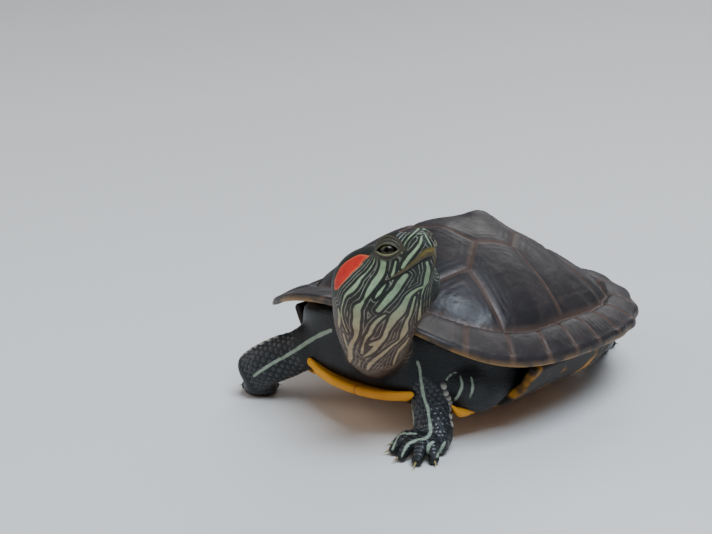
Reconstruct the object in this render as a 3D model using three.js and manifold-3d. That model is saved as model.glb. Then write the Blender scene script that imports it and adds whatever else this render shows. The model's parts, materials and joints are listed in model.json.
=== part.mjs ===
// A red-eared slider turtle, about two years old, standing with its head raised to its left.
// Millimetres, +Z up. The turtle faces -Y, its left side is +X, and its soles stand at Z = 0.
// The origin is the middle of the bounding box's base.
import * as THREE from 'three';
import { mergeVertices } from 'three/addons/utils/BufferGeometryUtils.js';
import Module from 'manifold-3d';

// ---- driving dimensions ----
const shellLength = 100;        // straight length of the carapace
const shellWidth = 83;          // its greatest width, just behind the middle
const shellSquareness = 2.6;    // exponent of the plan outline: 2 is an ellipse
const shellEgg = 0.03;          // how much narrower the front half is than the rear
const shellPeakY = 4;           // the dome's highest point lies this far behind the middle
const shellRise = 25;           // dome above the side rim
const rimHeight = 20.4;         // side rim above the floor
const shellPitch = 3;           // nose-up tilt of the shell, degrees
const shellRoll = 1.2;          // left side down, degrees
const frontArch = 12;           // the rim rises this much over the neck
const rearArch = 4;             // and this much over the tail
const archPower = 4.5;          // how suddenly it does so: 2 is a parabola
const marginStart = 0.82;       // the marginal scutes begin at this part of the radius
const marginRise = 6.5;         // their inner edge above the rim
const frontPower = 2.5;         // profile of the dome's front: 1 is a cone, 2 is a parabola
const rearPower = 1.4;          // and of its rear, which falls more evenly
const shellWall = 3;            // thickness of the dome
const rimWall = 2;              // thickness of the rim's edge
const plastronDrop = 14.6;      // underside of the plastron below the side rim
const plastronWall = 2.4;
const gap = 0.3;                // kept between neighbouring pieces
const headScale = 1.08;         // the head's stations are given for a 24 mm head
const eyeRadius = 2.7;
const eyePlace = [4.5, 7.2, 3.5].map((size) => size * headScale);   // aside, back and up from the tip

// head pose: the snout's tip, then turn to the left, lift and roll in degrees
const snoutTip = new THREE.Vector3(29.1, -56, 56.6);
const headTurn = 69.7;
const headLift = 39;
const headRoll = -1.5;

// ---- materials ----
function skinMaterial(color) {
  return new THREE.MeshStandardMaterial({ color, roughness: 0.55, metalness: 0 });
}
const carapaceMaterial = new THREE.MeshStandardMaterial({ color: 0x2b2422, roughness: 0.42, metalness: 0 });
const plastronMaterial = new THREE.MeshStandardMaterial({ color: 0xb9801f, roughness: 0.45, metalness: 0 });
const bodySkin = skinMaterial(0x1f211d);
const neckSkin = skinMaterial(0x4a3a2c);
const headSkin = skinMaterial(0x1c241e);
const beakMaterial = new THREE.MeshStandardMaterial({ color: 0x7d7336, roughness: 0.4, metalness: 0 });
const eyeMaterial = new THREE.MeshStandardMaterial({ color: 0x16140c, roughness: 0.08, metalness: 0 });
const clawMaterial = new THREE.MeshStandardMaterial({ color: 0x8a7434, roughness: 0.4, metalness: 0 });

// ---- solids ----
const wasm = await Module();
wasm.setup();

function solidOf(geometry) {
  const bare = geometry.clone();
  bare.deleteAttribute('normal');
  bare.deleteAttribute('uv');
  const merged = mergeVertices(bare.index ? bare.toNonIndexed() : bare, 1e-4);
  const mesh = new wasm.Mesh({
    numProp: 3,
    vertProperties: new Float32Array(merged.attributes.position.array),
    triVerts: new Uint32Array(merged.index.array),
  });
  return new wasm.Manifold(mesh);
}

function geometryOf(solid) {
  const mesh = solid.getMesh();
  const geometry = new THREE.BufferGeometry();
  geometry.setAttribute('position', new THREE.BufferAttribute(new Float32Array(mesh.vertProperties), 3));
  geometry.setIndex(new THREE.BufferAttribute(new Uint32Array(mesh.triVerts), 1));
  geometry.computeVertexNormals();
  return geometry;
}

// A closed body through rings of equally many points, with a point at each end.
function loft(first, rings, last) {
  const points = [first, ...rings.flat(), last];
  const sides = rings[0].length;
  const faces = [];
  const at = (ring, side) => 1 + ring * sides + (side % sides);
  for (let side = 0; side < sides; side += 1) {
    faces.push(0, at(0, side + 1), at(0, side));
    faces.push(points.length - 1, at(rings.length - 1, side), at(rings.length - 1, side + 1));
    for (let ring = 0; ring + 1 < rings.length; ring += 1) {
      faces.push(at(ring, side), at(ring, side + 1), at(ring + 1, side + 1));
      faces.push(at(ring, side), at(ring + 1, side + 1), at(ring + 1, side));
    }
  }
  let volume = 0;
  for (let face = 0; face < faces.length; face += 3) {
    const [a, b, c] = [0, 1, 2].map((corner) => points[faces[face + corner]]);
    volume += a.dot(b.clone().cross(c));
  }
  if (volume < 0) faces.reverse();
  const geometry = new THREE.BufferGeometry().setFromPoints(points);
  geometry.setIndex(faces);
  return solidOf(geometry);
}

function roundPower(value, power) {
  return Math.sign(value) * Math.abs(value) ** (2 / power);
}

function ease(value) {
  const part = THREE.MathUtils.clamp(value, 0, 1);
  return part * part * (3 - 2 * part);
}

// Values given at some places, joined smoothly: [[place, value, ...], ...].
function smoothTable(table, place) {
  const last = table.length - 1;
  let row = 0;
  while (row < last - 1 && place > table[row + 1][0]) row += 1;
  const before = table[Math.max(row - 1, 0)];
  const from = table[row];
  const to = table[row + 1];
  const after = table[Math.min(row + 2, last)];
  const part = THREE.MathUtils.clamp((place - from[0]) / (to[0] - from[0]), 0, 1);
  return from.slice(1).map((value, index) => {
    const column = index + 1;
    const span = to[0] - from[0];
    const slopeFrom = ((to[column] - before[column]) / Math.max(to[0] - before[0], 1e-6)) * span;
    const slopeTo = ((after[column] - from[column]) / Math.max(after[0] - from[0], 1e-6)) * span;
    const a = 2 * value - 2 * to[column] + slopeFrom + slopeTo;
    const b = -3 * value + 3 * to[column] - 2 * slopeFrom - slopeTo;
    return ((a * part + b) * part + slopeFrom) * part + value;
  });
}

// A limb: an oval section swept along a route, rounded at both ends.
// Each stop is [x, y, z, half width, half depth]; top is the direction of the depth.
function limb(stops, top, { grow = 0, sides = 10, steps = 4, power = 2.2, domes = 2 } = {}) {
  const curve = new THREE.CatmullRomCurve3(stops.map(([x, y, z]) => new THREE.Vector3(x, y, z)));
  const sizes = stops.map(([, , , wide, deep], index) => [index / (stops.length - 1), wide, deep]);
  const upward = new THREE.Vector3(...top).normalize();
  const rings = [];
  const ringAt = (place, slide, scale) => {
    const centre = curve.getPoint(place);
    const ahead = curve.getTangent(place);
    const across = new THREE.Vector3().crossVectors(ahead, upward).normalize();
    const over = new THREE.Vector3().crossVectors(across, ahead);
    const [wide, deep] = smoothTable(sizes, place);
    centre.addScaledVector(ahead, slide * (Math.min(wide, deep) + grow));
    const ring = [];
    for (let side = 0; side < sides; side += 1) {
      const angle = (side / sides) * 2 * Math.PI;
      ring.push(centre.clone()
        .addScaledVector(across, (wide + grow) * scale * roundPower(Math.cos(angle), power))
        .addScaledVector(over, (deep + grow) * scale * roundPower(Math.sin(angle), power)));
    }
    return ring;
  };
  const endPoint = (place, slide) => {
    const [wide, deep] = smoothTable(sizes, place);
    const reach = slide * (Math.min(wide, deep) + grow);
    return curve.getPoint(place).addScaledVector(curve.getTangent(place), reach);
  };
  for (let dome = 1; dome <= domes; dome += 1) {
    const angle = (dome / (domes + 1)) * (Math.PI / 2);
    rings.push(ringAt(0, -Math.cos(angle), Math.sin(angle)));
  }
  for (let step = 0; step <= steps; step += 1) rings.push(ringAt(step / steps, 0, 1));
  for (let dome = domes; dome >= 1; dome -= 1) {
    const angle = (dome / (domes + 1)) * (Math.PI / 2);
    rings.push(ringAt(1, Math.cos(angle), Math.sin(angle)));
  }
  return loft(endPoint(0, -1), rings, endPoint(1, 1));
}

function join(solids) {
  return solids.reduce((whole, solid) => whole.add(solid));
}

// Cuts the cutters away and keeps the largest body that is left.
function cut(solid, ...cutters) {
  const left = cutters.reduce((rest, cutter) => rest.subtract(cutter), solid);
  const bodies = left.decompose();
  return bodies.reduce((best, body) => (body.volume() > best.volume() ? body : best));
}

function boxSolid(low, high) {
  const size = high.map((value, index) => value - low[index]);
  const geometry = new THREE.BoxGeometry(...size);
  geometry.translate(...low.map((value, index) => value + size[index] / 2));
  return solidOf(geometry);
}

function ball(centre, radii, sides = 20) {
  const geometry = new THREE.SphereGeometry(1, sides, Math.round(sides * 0.6));
  geometry.scale(...radii);
  geometry.translate(...centre);
  return solidOf(geometry);
}

function place(group, name, solid, material) {
  const geometry = geometryOf(solid);
  geometry.computeBoundingBox();
  const pivot = geometry.boundingBox.getCenter(new THREE.Vector3());
  geometry.translate(-pivot.x, -pivot.y, -pivot.z);
  const mesh = new THREE.Mesh(geometry, material);
  mesh.name = name;
  mesh.position.copy(pivot);
  group.add(mesh);
}

function inWorld(solid, group) {
  group.updateMatrix();
  return solid.transform(group.matrix.elements);
}

const turtle = new THREE.Group();
const shellGroup = new THREE.Group();
shellGroup.position.z = rimHeight;
shellGroup.rotation.set(THREE.MathUtils.degToRad(-shellPitch), THREE.MathUtils.degToRad(shellRoll), 0);
turtle.add(shellGroup);

// ---- carapace: a hollow dome with a flared rim, in the shell's own frame ----
const rimSides = 56;
const marginCount = 28;
const serration = 0.8;          // depth of the notches between the rear marginal scutes

function rimPoint(turn, spread = 0) {
  const halfWidth = (shellWidth / 2) * (1 - shellEgg * Math.cos(turn)) + spread;
  const halfLength = shellLength / 2 + spread;
  const across = (Math.abs(Math.sin(turn)) / halfWidth) ** shellSquareness;
  const along = (Math.abs(Math.cos(turn)) / halfLength) ** shellSquareness;
  const rear = ease((-Math.cos(turn) - 0.1) / 0.6);
  const notch = serration * rear * (0.5 + 0.5 * Math.cos(marginCount * turn));
  const reach = (across + along) ** (-1 / shellSquareness) - notch;
  const x = reach * Math.sin(turn);
  const y = -reach * Math.cos(turn);
  const arch = y < 0 ? frontArch : rearArch;
  const z = arch * Math.min(Math.abs(y) / (shellLength / 2), 1) ** archPower;
  return { x, y, z };
}

function keelKnob(x, y) {
  const knobs = [[-30, 0.7], [-11, 1], [7, 1.9], [24, 1.3], [38, 0.7]];
  const row = knobs.reduce((sum, [at, rise]) => sum + rise * Math.exp(-(((y - at) / 5) ** 2)), 0);
  return row * Math.exp(-((x / 4) ** 2));
}

function domeHeight(part, turn) {
  const inner = Math.min(part / marginStart, 1);
  const domePower = rearPower + (frontPower - rearPower) * (0.5 + 0.5 * Math.cos(turn));
  const outer = Math.max((part - marginStart) / (1 - marginStart), 0);
  const dome = marginRise + (shellRise - marginRise) * (1 - inner ** domePower);
  const groove = 0.7 * Math.exp(-(((part - marginStart) / 0.035) ** 2));
  return dome - marginRise * outer ** 1.6 - groove;
}

// A point of the dome: part is 0 at the peak and 1 at the rim, sink is how far below the outside.
function shellPoint(part, turn, sink = 0, spread = 0) {
  const rim = rimPoint(turn, spread);
  const x = rim.x * part;
  const y = shellPeakY + (rim.y - shellPeakY) * part;
  const z = rim.z * part ** 2.5 + domeHeight(part, turn) + keelKnob(x, y) - sink;
  return new THREE.Vector3(x, y, z);
}

function shellRing(part, sink, spread = 0, sides = rimSides) {
  const ring = [];
  for (let side = 0; side < sides; side += 1) {
    ring.push(shellPoint(part, (side / sides) * 2 * Math.PI, sink, spread));
  }
  return ring;
}

function carapaceSolid(grow = 0) {
  const outside = [0.12, 0.27, 0.42, 0.56, 0.69, 0.78, 0.83, 0.9, 0.985];
  const inside = [0.95, 0.84, 0.72, 0.4];
  const wallAt = (part) => rimWall + (shellWall - rimWall) * ease((0.98 - part) / 0.2);
  const rings = [
    ...outside.map((part) => shellRing(part, -grow, grow)),
    shellRing(1, rimWall / 2, grow),
    shellRing(0.985, rimWall + grow, grow),
    ...inside.map((part) => shellRing(part, wallAt(part) + grow, -grow)),
  ];
  const top = shellPoint(0, 0, -grow);
  const bottom = shellPoint(0, 0, shellWall + 1 + grow);
  return loft(top, rings, bottom);
}

const carapace = carapaceSolid();
const carapaceCutter = carapaceSolid(1.6 * gap);
place(shellGroup, 'carapace', carapace, carapaceMaterial);

// ---- plastron: a flat plate with a bridge up to the rim on each side ----
const plateStops = [                     // y, half width, rise of the plate above its level
  [-43.5, 8, 4.8],
  [-41.5, 14, 3.8],
  [-37.5, 21, 2],
  [-33, 25.3, 0.5],
  [-27, 25.3, 0],
  [-18, 24.5, 0],
  [0, 25, 0],
  [16, 23.5, 0],
  [25, 21.5, 0],
  [34, 18, 0.2],
  [40, 13.5, 0.5],
  [43.5, 8.5, 0.8],
];
const bridgeHalfLength = 19;             // of each bridge, along the shell
const plateLip = 0.8;                    // the front edge bulges forward in the middle
const plateNotch = 1.5;                  // the rear edge is notched in the middle
const plateMiddle = -plastronDrop + plastronWall / 2;

function plateRing(y, grow, sides) {
  const [wide, rise] = smoothTable(plateStops, y);
  const ring = [];
  for (let side = 0; side < sides; side += 1) {
    const angle = (side / sides) * 2 * Math.PI;
    const x = (wide + grow) * roundPower(Math.cos(angle), 3);
    const z = plateMiddle + rise + (plastronWall / 2 + grow) * roundPower(Math.sin(angle), 3);
    ring.push(new THREE.Vector3(x, y, z));
  }
  return ring;
}

function plastronSolid(grow = 0) {
  const sides = 12;
  const from = plateStops[0][0] - grow;
  const to = plateStops[plateStops.length - 1][0] + grow;
  const steps = 12;
  const rings = [];
  for (let step = 0; step <= steps; step += 1) {
    rings.push(plateRing(from + ((to - from) * step) / steps, grow, sides));
  }
  const first = new THREE.Vector3(0, from - plateLip, plateMiddle + plateStops[0][2]);
  const last = new THREE.Vector3(0, to - plateNotch, plateMiddle + plateStops[plateStops.length - 1][2]);
  const plate = loft(first, rings, last);
  const bridges = [-1, 1].map((side) => {
    const route = [
      [side * 20, -1, plateMiddle, bridgeHalfLength, 1.1],
      [side * 27, -2, plateMiddle + 1, bridgeHalfLength, 1.2],
      [side * 33, -3, plateMiddle + 5.4, bridgeHalfLength, 1.3],
      [side * 36.3, -4, plateMiddle + 11, bridgeHalfLength + 1, 1.3],
    ];
    return limb(route, [-side * 0.4, 0, 1], { grow, sides: 12, steps: 5, power: 4, domes: 1 });
  });
  return join([plate, ...bridges]);
}

const plastron = cut(plastronSolid(), carapaceCutter);
const plastronCutter = plastronSolid(gap);
place(shellGroup, 'plastron', plastron, plastronMaterial);

// ---- trunk: the flesh between the two shells ----
const trunkReach = 0.82;                 // its outline, as a part of the rim's
const trunkMiddle = -3;                  // height of its edge in the shell's frame
const trunkBelly = 9;                    // its belly hangs this much lower

function trunkSolid(grow = 0) {
  const sides = 28;
  const parts = [0.4, 0.7, 0.9];
  const roof = (part, turn) => {
    const inner = shellPoint(part * trunkReach, turn, shellWall + 4 * gap);
    const swell = trunkMiddle + (shellRise + 2) * (1 - part ** 4) ** 0.5;
    inner.z = Math.min(inner.z, swell + 5 * Math.max(Math.cos(turn), 0)) + grow;
    return inner;
  };
  const base = (part, turn) => {
    const point = shellPoint(part * trunkReach, turn);
    const belly = trunkMiddle - trunkBelly * (1 - part ** 4) ** 0.5;
    point.z = Math.max(plateMiddle + plastronWall / 2 + 2 * gap, belly) - grow;
    return point;
  };
  const around = (shape, part) => {
    const ring = [];
    for (let side = 0; side < sides; side += 1) ring.push(shape(part, (side / sides) * 2 * Math.PI));
    return ring;
  };
  const spread = grow / 40;
  const rings = [
    ...parts.map((part) => around(roof, part + spread)),
    ...[...parts].reverse().map((part) => around(base, part + spread)),
  ];
  return loft(roof(0, 0), rings, base(0, 0));
}

// The loose skin of each shoulder bulges out between the shells, behind the upper arm.
function trunkWhole(grow = 0) {
  const radii = [5.6, 6.5, 6].map((radius) => radius + grow);
  const bulges = [-1, 1].map((side) => ball([side * 24, -25, -8.5], radii, 10));
  return join([trunkSolid(grow), ...bulges]);
}

const trunk = cut(trunkWhole(), plastronCutter);
const trunkCutter = trunkWhole(gap);
place(shellGroup, 'trunk', trunk, bodySkin);

const shellCutters = [carapaceCutter, plastronCutter, trunkCutter].map((solid) => inWorld(solid, shellGroup));

// ---- head, in its own frame: x to its left, y back from the snout's tip, z up ----
const headGroup = new THREE.Group();
headGroup.position.copy(snoutTip);
headGroup.rotation.set(
  THREE.MathUtils.degToRad(-headLift),
  THREE.MathUtils.degToRad(headRoll),
  THREE.MathUtils.degToRad(headTurn),
  'ZXY',
);

const headStops = [                      // back from the tip, half width, top, bottom
  [0, 1.5, 1.9, -1.4],
  [1, 2.4, 2.9, -2.2],
  [3, 3.8, 4.2, -3.1],
  [6, 5.4, 5.4, -4.4],
  [9, 6.7, 6.6, -6],
  [13, 8.2, 7.3, -7.6],
  [17, 9.3, 7.9, -8.4],
  [21, 9.5, 8.3, -8.4],
  [24.5, 8.4, 7.4, -6.8],
  [27, 6, 5, -4.2],
];

function headSolid(grow = 0) {
  const sides = 16;
  const ringAt = (back, slide = 0) => {
    const [wide, top, bottom] = smoothTable(headStops, back);
    const middle = (top + bottom) / 2;
    const deep = (top - bottom) / 2;
    const ring = [];
    for (let side = 0; side < sides; side += 1) {
      const angle = (side / sides) * 2 * Math.PI;
      const x = (wide * headScale + grow) * roundPower(Math.cos(angle), 2.4);
      const z = middle * headScale + (deep * headScale + grow) * roundPower(Math.sin(angle), 2.2);
      ring.push(new THREE.Vector3(x, back * headScale + slide, z));
    }
    return ring;
  };
  const backs = [0, 0.8, 2, 4, 6.5, 9, 12, 15, 18, 21, 24, 26.4];
  const rings = backs.map((back, index) => ringAt(back, index === 0 ? -grow : 0));
  const first = new THREE.Vector3(0, -0.3 - grow, 0.3);
  const last = new THREE.Vector3(0, 27.8 * headScale + grow, -0.6);
  return loft(first, rings, last);
}

// The mouth line, back from the notch of the beak to the corner of the mouth, seen from the side.
const mouthLine = [[-3, -1.2], [0, -1.1], [3, -1.9], [7, -2.2], [11.3, -1.7]];

function jawWedge(grow = 0) {
  const corner = mouthLine[mouthLine.length - 1];
  const outline = [
    ...mouthLine.map(([back, up]) => [back, up + grow / headScale]),
    [corner[0] + grow, corner[1]],
    [corner[0] + 3 + grow, -5],
    [corner[0] + 3 + grow, -12],
    [-3, -12],
  ];
  const corners = outline.map(([back, up]) => new THREE.Vector2(back * headScale, up * headScale));
  const shape = new THREE.Shape(corners);
  const geometry = new THREE.ExtrudeGeometry(shape, { depth: 40, bevelEnabled: false });
  geometry.translate(0, 0, -20);
  geometry.rotateY(Math.PI / 2);
  geometry.rotateX(Math.PI / 2);
  return solidOf(geometry);
}


function eyeBalls(radius) {
  const [across, back, up] = eyePlace;
  return [-1, 1].map((side) => ball([side * across, back, up], [radius, radius, radius], 12));
}

const wholeHead = headSolid();
const lowerJaw = wholeHead.intersect(jawWedge());
const upperHead = cut(wholeHead, jawWedge(gap), ...eyeBalls(eyeRadius + gap));
const [eyeRight, eyeLeft] = eyeBalls(eyeRadius);
place(headGroup, 'head', upperHead, headSkin);
place(headGroup, 'lower_jaw', lowerJaw, beakMaterial);
place(headGroup, 'eye_right', eyeRight, eyeMaterial);
place(headGroup, 'eye_left', eyeLeft, eyeMaterial);
turtle.add(headGroup);
const headCutter = inWorld(headSolid(gap), headGroup);

// ---- neck: it rises out of the shell, with the loose skin of the throat in front ----
const neckStops = [
  [0, -34, 18, 9.5, 8.5],
  [5, -41.5, 21, 8.8, 8],
  [9.8, -47.3, 27.5, 9.6, 9],
  [13.6, -50.9, 35.2, 11, 10],
  [14.2, -51.8, 42.3, 10, 9.2],
];
const neckTop = [0.5, -0.3, 0.6];
const neckShape = { sides: 14, steps: 6 };
place(turtle, 'neck', cut(limb(neckStops, neckTop, neckShape), headCutter, ...shellCutters), neckSkin);
const neckCutter = limb(neckStops, neckTop, { ...neckShape, grow: gap });

// ---- legs ----
const floorCut = boxSolid([-shellLength, -shellLength, -10], [shellLength, shellLength, 0]);
const clawLength = 2.8;
const clawWidth = 0.75;

// A toe goes from the sole's end over its knuckle down to its tip: [tip x, tip y, half width].
function toeRoute(heel, [x, y, wide], knuckle) {
  return [
    [heel[0], heel[1], 2.8, wide * 1.1, 1.9],
    [heel[0] + (x - heel[0]) * 0.62, heel[1] + (y - heel[1]) * 0.62, knuckle, wide, 1.5],
    [x, y, 1.4, wide * 0.85, 1.2],
  ];
}

// Its claw goes on from the tip in the same direction, down to the floor.
function clawRoute(heel, [x, y]) {
  const out = new THREE.Vector3(x - heel[0], y - heel[1], 0).normalize();
  const at = (part) => [x + out.x * clawLength * part, y + out.y * clawLength * part];
  return [
    [...at(-0.15), 1.6, clawWidth, clawWidth],
    [...at(0.5), 1.45, clawWidth * 0.85, clawWidth * 0.85],
    [...at(1), 0.55, 0.3, 0.3],
  ];
}

// One leg: two lengths and a foot, each cut clear of the length before it, and its claws.
function makeLeg(name, { upper, lower, sole, toes, knuckle, names, top }) {
  const bars = { sides: 6, steps: 2, domes: 1 };
  const heel = sole[sole.length - 1];
  const upperSolid = cut(limb(upper, top), ...shellCutters, neckCutter);
  const upperCutter = limb(upper, top, { grow: gap });
  const lowerSolid = cut(limb(lower, top), upperCutter, ...shellCutters, neckCutter, floorCut);
  const lowerCutter = limb(lower, top, { grow: gap });
  const soleSolid = limb(sole, [0, 0, 1], { steps: 2, power: 2.6 });
  const toeSolids = toes.map((toe) => limb(toeRoute(heel, toe, knuckle), [0, 0, 1], bars));
  const foot = cut(join([soleSolid, ...toeSolids]), lowerCutter, floorCut, ...shellCutters);
  place(turtle, `${name}_${names[0]}`, upperSolid, bodySkin);
  place(turtle, `${name}_${names[1]}`, lowerSolid, bodySkin);
  place(turtle, `${name}_${names[2]}`, foot, bodySkin);
  toes.forEach((toe, index) => {
    const toeCutter = limb(toeRoute(heel, toe, knuckle), [0, 0, 1], { ...bars, grow: gap });
    const claw = limb(clawRoute(heel, toe), [0, 0, 1], { sides: 6, steps: 2, domes: 0 });
    place(turtle, `${name}_claw_${index + 1}`, cut(claw, toeCutter, floorCut), clawMaterial);
  });
}

const foreNames = ['upper_arm', 'forearm', 'hand'];
const hindNames = ['thigh', 'shank', 'foot'];

makeLeg('fore_left', {
  names: foreNames,
  top: [0.58, -0.76, 0.2],
  upper: [[12, -27, 14, 5.5, 5.5], [14, -31, 17, 5, 5], [14.6, -33.6, 19, 3.8, 3.8]],
  lower: [
    [14.8, -34.6, 18.6, 3.2, 3.4],
    [15.8, -35.4, 14.8, 3.8, 3.6],
    [17.4, -36.4, 10, 4.6, 3.4],
    [19.4, -38, 5, 4.6, 3.2],
  ],
  sole: [[20, -38.6, 3.8, 4.5, 3.4], [20.4, -41.4, 2.6, 4.8, 2.9]],
  knuckle: 3.9,
  toes: [
    [13, -44.8, 1.45],
    [14.6, -47.6, 1.5],
    [18.2, -49.6, 1.5],
    [22.8, -49.6, 1.55],
    [25.4, -46.4, 1.45],
  ],
});

makeLeg('fore_right', {
  names: foreNames,
  top: [0.58, -0.76, 0.2],
  upper: [[-11, -27, 17, 5.5, 5.5], [-16.5, -31, 18, 5.6, 5.4], [-21.4, -34.4, 16.2, 5, 4.4]],
  lower: [
    [-22, -34.8, 15.6, 5, 3.8],
    [-27.5, -36.8, 12.8, 5.6, 3.7],
    [-33, -38.8, 9.8, 5.4, 3.6],
    [-36.6, -39.8, 7.6, 4.8, 3.3],
  ],
  sole: [[-35.4, -38.2, 4.6, 3.8, 3.2], [-36.6, -36.6, 2.6, 4.4, 2.9]],
  knuckle: 2.8,
  toes: [
    [-41.7, -36.7, 1.3],
    [-41.3, -34.2, 1.35],
    [-40, -32.2, 1.4],
    [-38, -31.4, 1.35],
    [-35.8, -31.9, 1.3],
  ],
});

makeLeg('hind_left', {
  names: hindNames,
  top: [0.3, 0.2, 1],
  upper: [[12, 26, 12, 5.5, 5], [19, 29.5, 12, 5.4, 5], [22.4, 34.5, 9.8, 4.6, 4.2]],
  lower: [[22.6, 35, 9.3, 4.2, 3.9], [21, 40, 6.6, 3.8, 3.4], [18.4, 44.6, 4.4, 3.5, 3]],
  sole: [[17.6, 45, 3.4, 3.5, 2.9], [15.8, 47.8, 2.6, 4.2, 2.9]],
  knuckle: 2.8,
  toes: [[11, 51, 1.4], [13.2, 52.8, 1.45], [16, 53, 1.45], [18.6, 51.4, 1.4]],
});

makeLeg('hind_right', {
  names: hindNames,
  top: [-0.3, 0.2, 1],
  upper: [[-12, 26, 12, 6, 6], [-20, 27, 12, 5.6, 5.2], [-25, 31, 10, 4.8, 4.4]],
  lower: [[-25.4, 31.6, 9.5, 4.3, 4], [-25.6, 36, 6.8, 3.9, 3.5], [-24.8, 40, 4.5, 3.6, 3]],
  sole: [[-24.8, 40.6, 3.4, 3.6, 2.9], [-25.6, 43.8, 2.6, 4.3, 2.9]],
  knuckle: 2.8,
  toes: [[-22.4, 48.8, 1.4], [-25.4, 50.2, 1.45], [-28.4, 49.4, 1.45], [-30.8, 46.8, 1.4]],
});

// ---- tail: short, curled to one side under the rear rim ----
const tailStops = [
  [0, 36, 12.5, 4, 3.6],
  [-1, 43, 11.5, 2.7, 2.5],
  [-4, 49, 9.5, 1.7, 1.6],
  [-9, 52, 7.5, 0.8, 0.8],
];
place(turtle, 'tail', cut(limb(tailStops, [0, 0, 1], { sides: 10, steps: 7 }), ...shellCutters), bodySkin);

// ---- the origin goes to the middle of the bounding box's base ----
turtle.updateMatrixWorld(true);
const bounds = new THREE.Box3().setFromObject(turtle, true);
const middle = bounds.getCenter(new THREE.Vector3());
turtle.position.set(-middle.x, -middle.y, -bounds.min.z);

export default turtle;
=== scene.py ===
import json
import math

import bmesh
import bpy
import numpy as np
import openvdb
from mathutils import Matrix, Vector
from mathutils.bvhtree import BVHTree

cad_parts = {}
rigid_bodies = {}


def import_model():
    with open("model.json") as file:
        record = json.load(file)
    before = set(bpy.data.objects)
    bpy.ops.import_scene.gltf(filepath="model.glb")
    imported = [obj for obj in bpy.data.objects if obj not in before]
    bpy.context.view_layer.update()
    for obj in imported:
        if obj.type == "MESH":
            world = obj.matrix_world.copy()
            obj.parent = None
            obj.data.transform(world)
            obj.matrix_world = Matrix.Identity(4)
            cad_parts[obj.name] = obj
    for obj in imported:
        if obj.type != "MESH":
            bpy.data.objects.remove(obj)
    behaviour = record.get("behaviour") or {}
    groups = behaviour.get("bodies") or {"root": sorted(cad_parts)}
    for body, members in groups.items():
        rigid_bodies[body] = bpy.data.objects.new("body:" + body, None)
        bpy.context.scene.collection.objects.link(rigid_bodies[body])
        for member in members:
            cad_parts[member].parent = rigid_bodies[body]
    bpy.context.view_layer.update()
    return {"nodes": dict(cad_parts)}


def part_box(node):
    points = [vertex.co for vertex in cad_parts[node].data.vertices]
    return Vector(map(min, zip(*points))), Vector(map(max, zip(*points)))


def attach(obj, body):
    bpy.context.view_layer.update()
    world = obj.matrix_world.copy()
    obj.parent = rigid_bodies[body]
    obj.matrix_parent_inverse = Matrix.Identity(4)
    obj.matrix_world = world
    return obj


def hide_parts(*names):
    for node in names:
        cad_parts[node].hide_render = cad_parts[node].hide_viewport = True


for startThing in list(bpy.data.objects):
    bpy.data.objects.remove(startThing)
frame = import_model()
print("frame loaded:", len(frame["nodes"]), "nodes")

# Shapes are worked out in millimetres in the turtle's own frame: it faces -Y, its left is +X,
# the soles stand at Z = 0 and the shell's middle is at X = Y = 0. A shift brings them to the frame.


def turnX(degrees):
    c, s = math.cos(math.radians(degrees)), math.sin(math.radians(degrees))
    return np.array([[1, 0, 0], [0, c, -s], [0, s, c]])


def turnY(degrees):
    c, s = math.cos(math.radians(degrees)), math.sin(math.radians(degrees))
    return np.array([[c, 0, s], [0, 1, 0], [-s, 0, c]])


def turnZ(degrees):
    c, s = math.cos(math.radians(degrees)), math.sin(math.radians(degrees))
    return np.array([[c, -s, 0], [s, c, 0], [0, 0, 1]])


shell = {
    "length": 100,
    "width": 83,
    "squareness": 2.6,      # exponent of the plan outline
    "egg": 0.03,            # the front half is this much narrower
    "peakY": 4,             # the dome's top lies this far behind the middle
    "rise": 25,             # dome above the side rim
    "rimHeight": 20.4,      # side rim above the floor
    "pitch": 3,             # nose up, degrees
    "roll": 1.2,            # left side down, degrees
    "frontArch": 12,        # the rim rises over the neck
    "rearArch": 4,          # and over the tail
    "archPower": 4.5,
    # degrees from the front, and the part of the radius where the marginal scutes begin there
    "marginStart": [
        [0, 0.7], [16, 0.705], [26, 0.722], [36, 0.752], [46, 0.785], [56, 0.803], [66, 0.803], [82, 0.782],
        [100, 0.775], [120, 0.79], [140, 0.805], [180, 0.81],
    ],
    "rimLift": 1.1,         # mm of the whole rim above its plane
    "marginRise": [[0, 5.8], [90, 5.8], [140, 4.4], [180, 4.2]],      # their inner edge above the rim
    "frontPower": 2.5,
    "rearPower": 1.4,
    "wall": 3,
    "rimWall": 2,
    "rimPower": 2.5,        # how late the rim's rise begins on the way out
    "grooveDepth": 0.7,     # the marginals' inner edge is a groove
    "grooveWidth": 0.035,   # as a part of the radius
    "marginPower": 1.6,     # bow of the marginals
    "notches": 28,          # serrations round the rim
    "serration": 0.8,
    "serrated": (0.1, 0.6),     # where they begin behind the middle, and how soon they are full
}
headPose = {
    "tip": np.array([29.1, -56, 56.6]),
    "turn": 69.7,
    "lift": 39,
    "roll": -1.5,
    "scale": 1.08,          # the head's stations are given for a 24 mm head
}
eye = {
    # the CAD eye: aside, back and up from the tip
    "node": np.array([4.5, 7.2, 3.5]) * headPose["scale"],
    "place": np.array([4.55, 7.75, 2.95]),
    "radius": 2.7,
    "gaze": np.array([0.66, -0.74, -0.12]),                    # outward and ahead, in the head's frame
    "slitLength": 2.5,      # half the length of the opening between the lids
    "upper": 1.2,           # how far the upper lid's edge is above the slit's line
    "lower": 1.0,
}

headTurn = turnZ(headPose["turn"]) @ turnX(-headPose["lift"]) @ turnY(headPose["roll"])
shellTurn = turnX(-shell["pitch"]) @ turnY(shell["roll"])
shellMiddle = np.array([0, 0, shell["rimHeight"]])


def fromHead(points):
    return np.asarray(points, float) @ headTurn.T + headPose["tip"]


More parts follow.
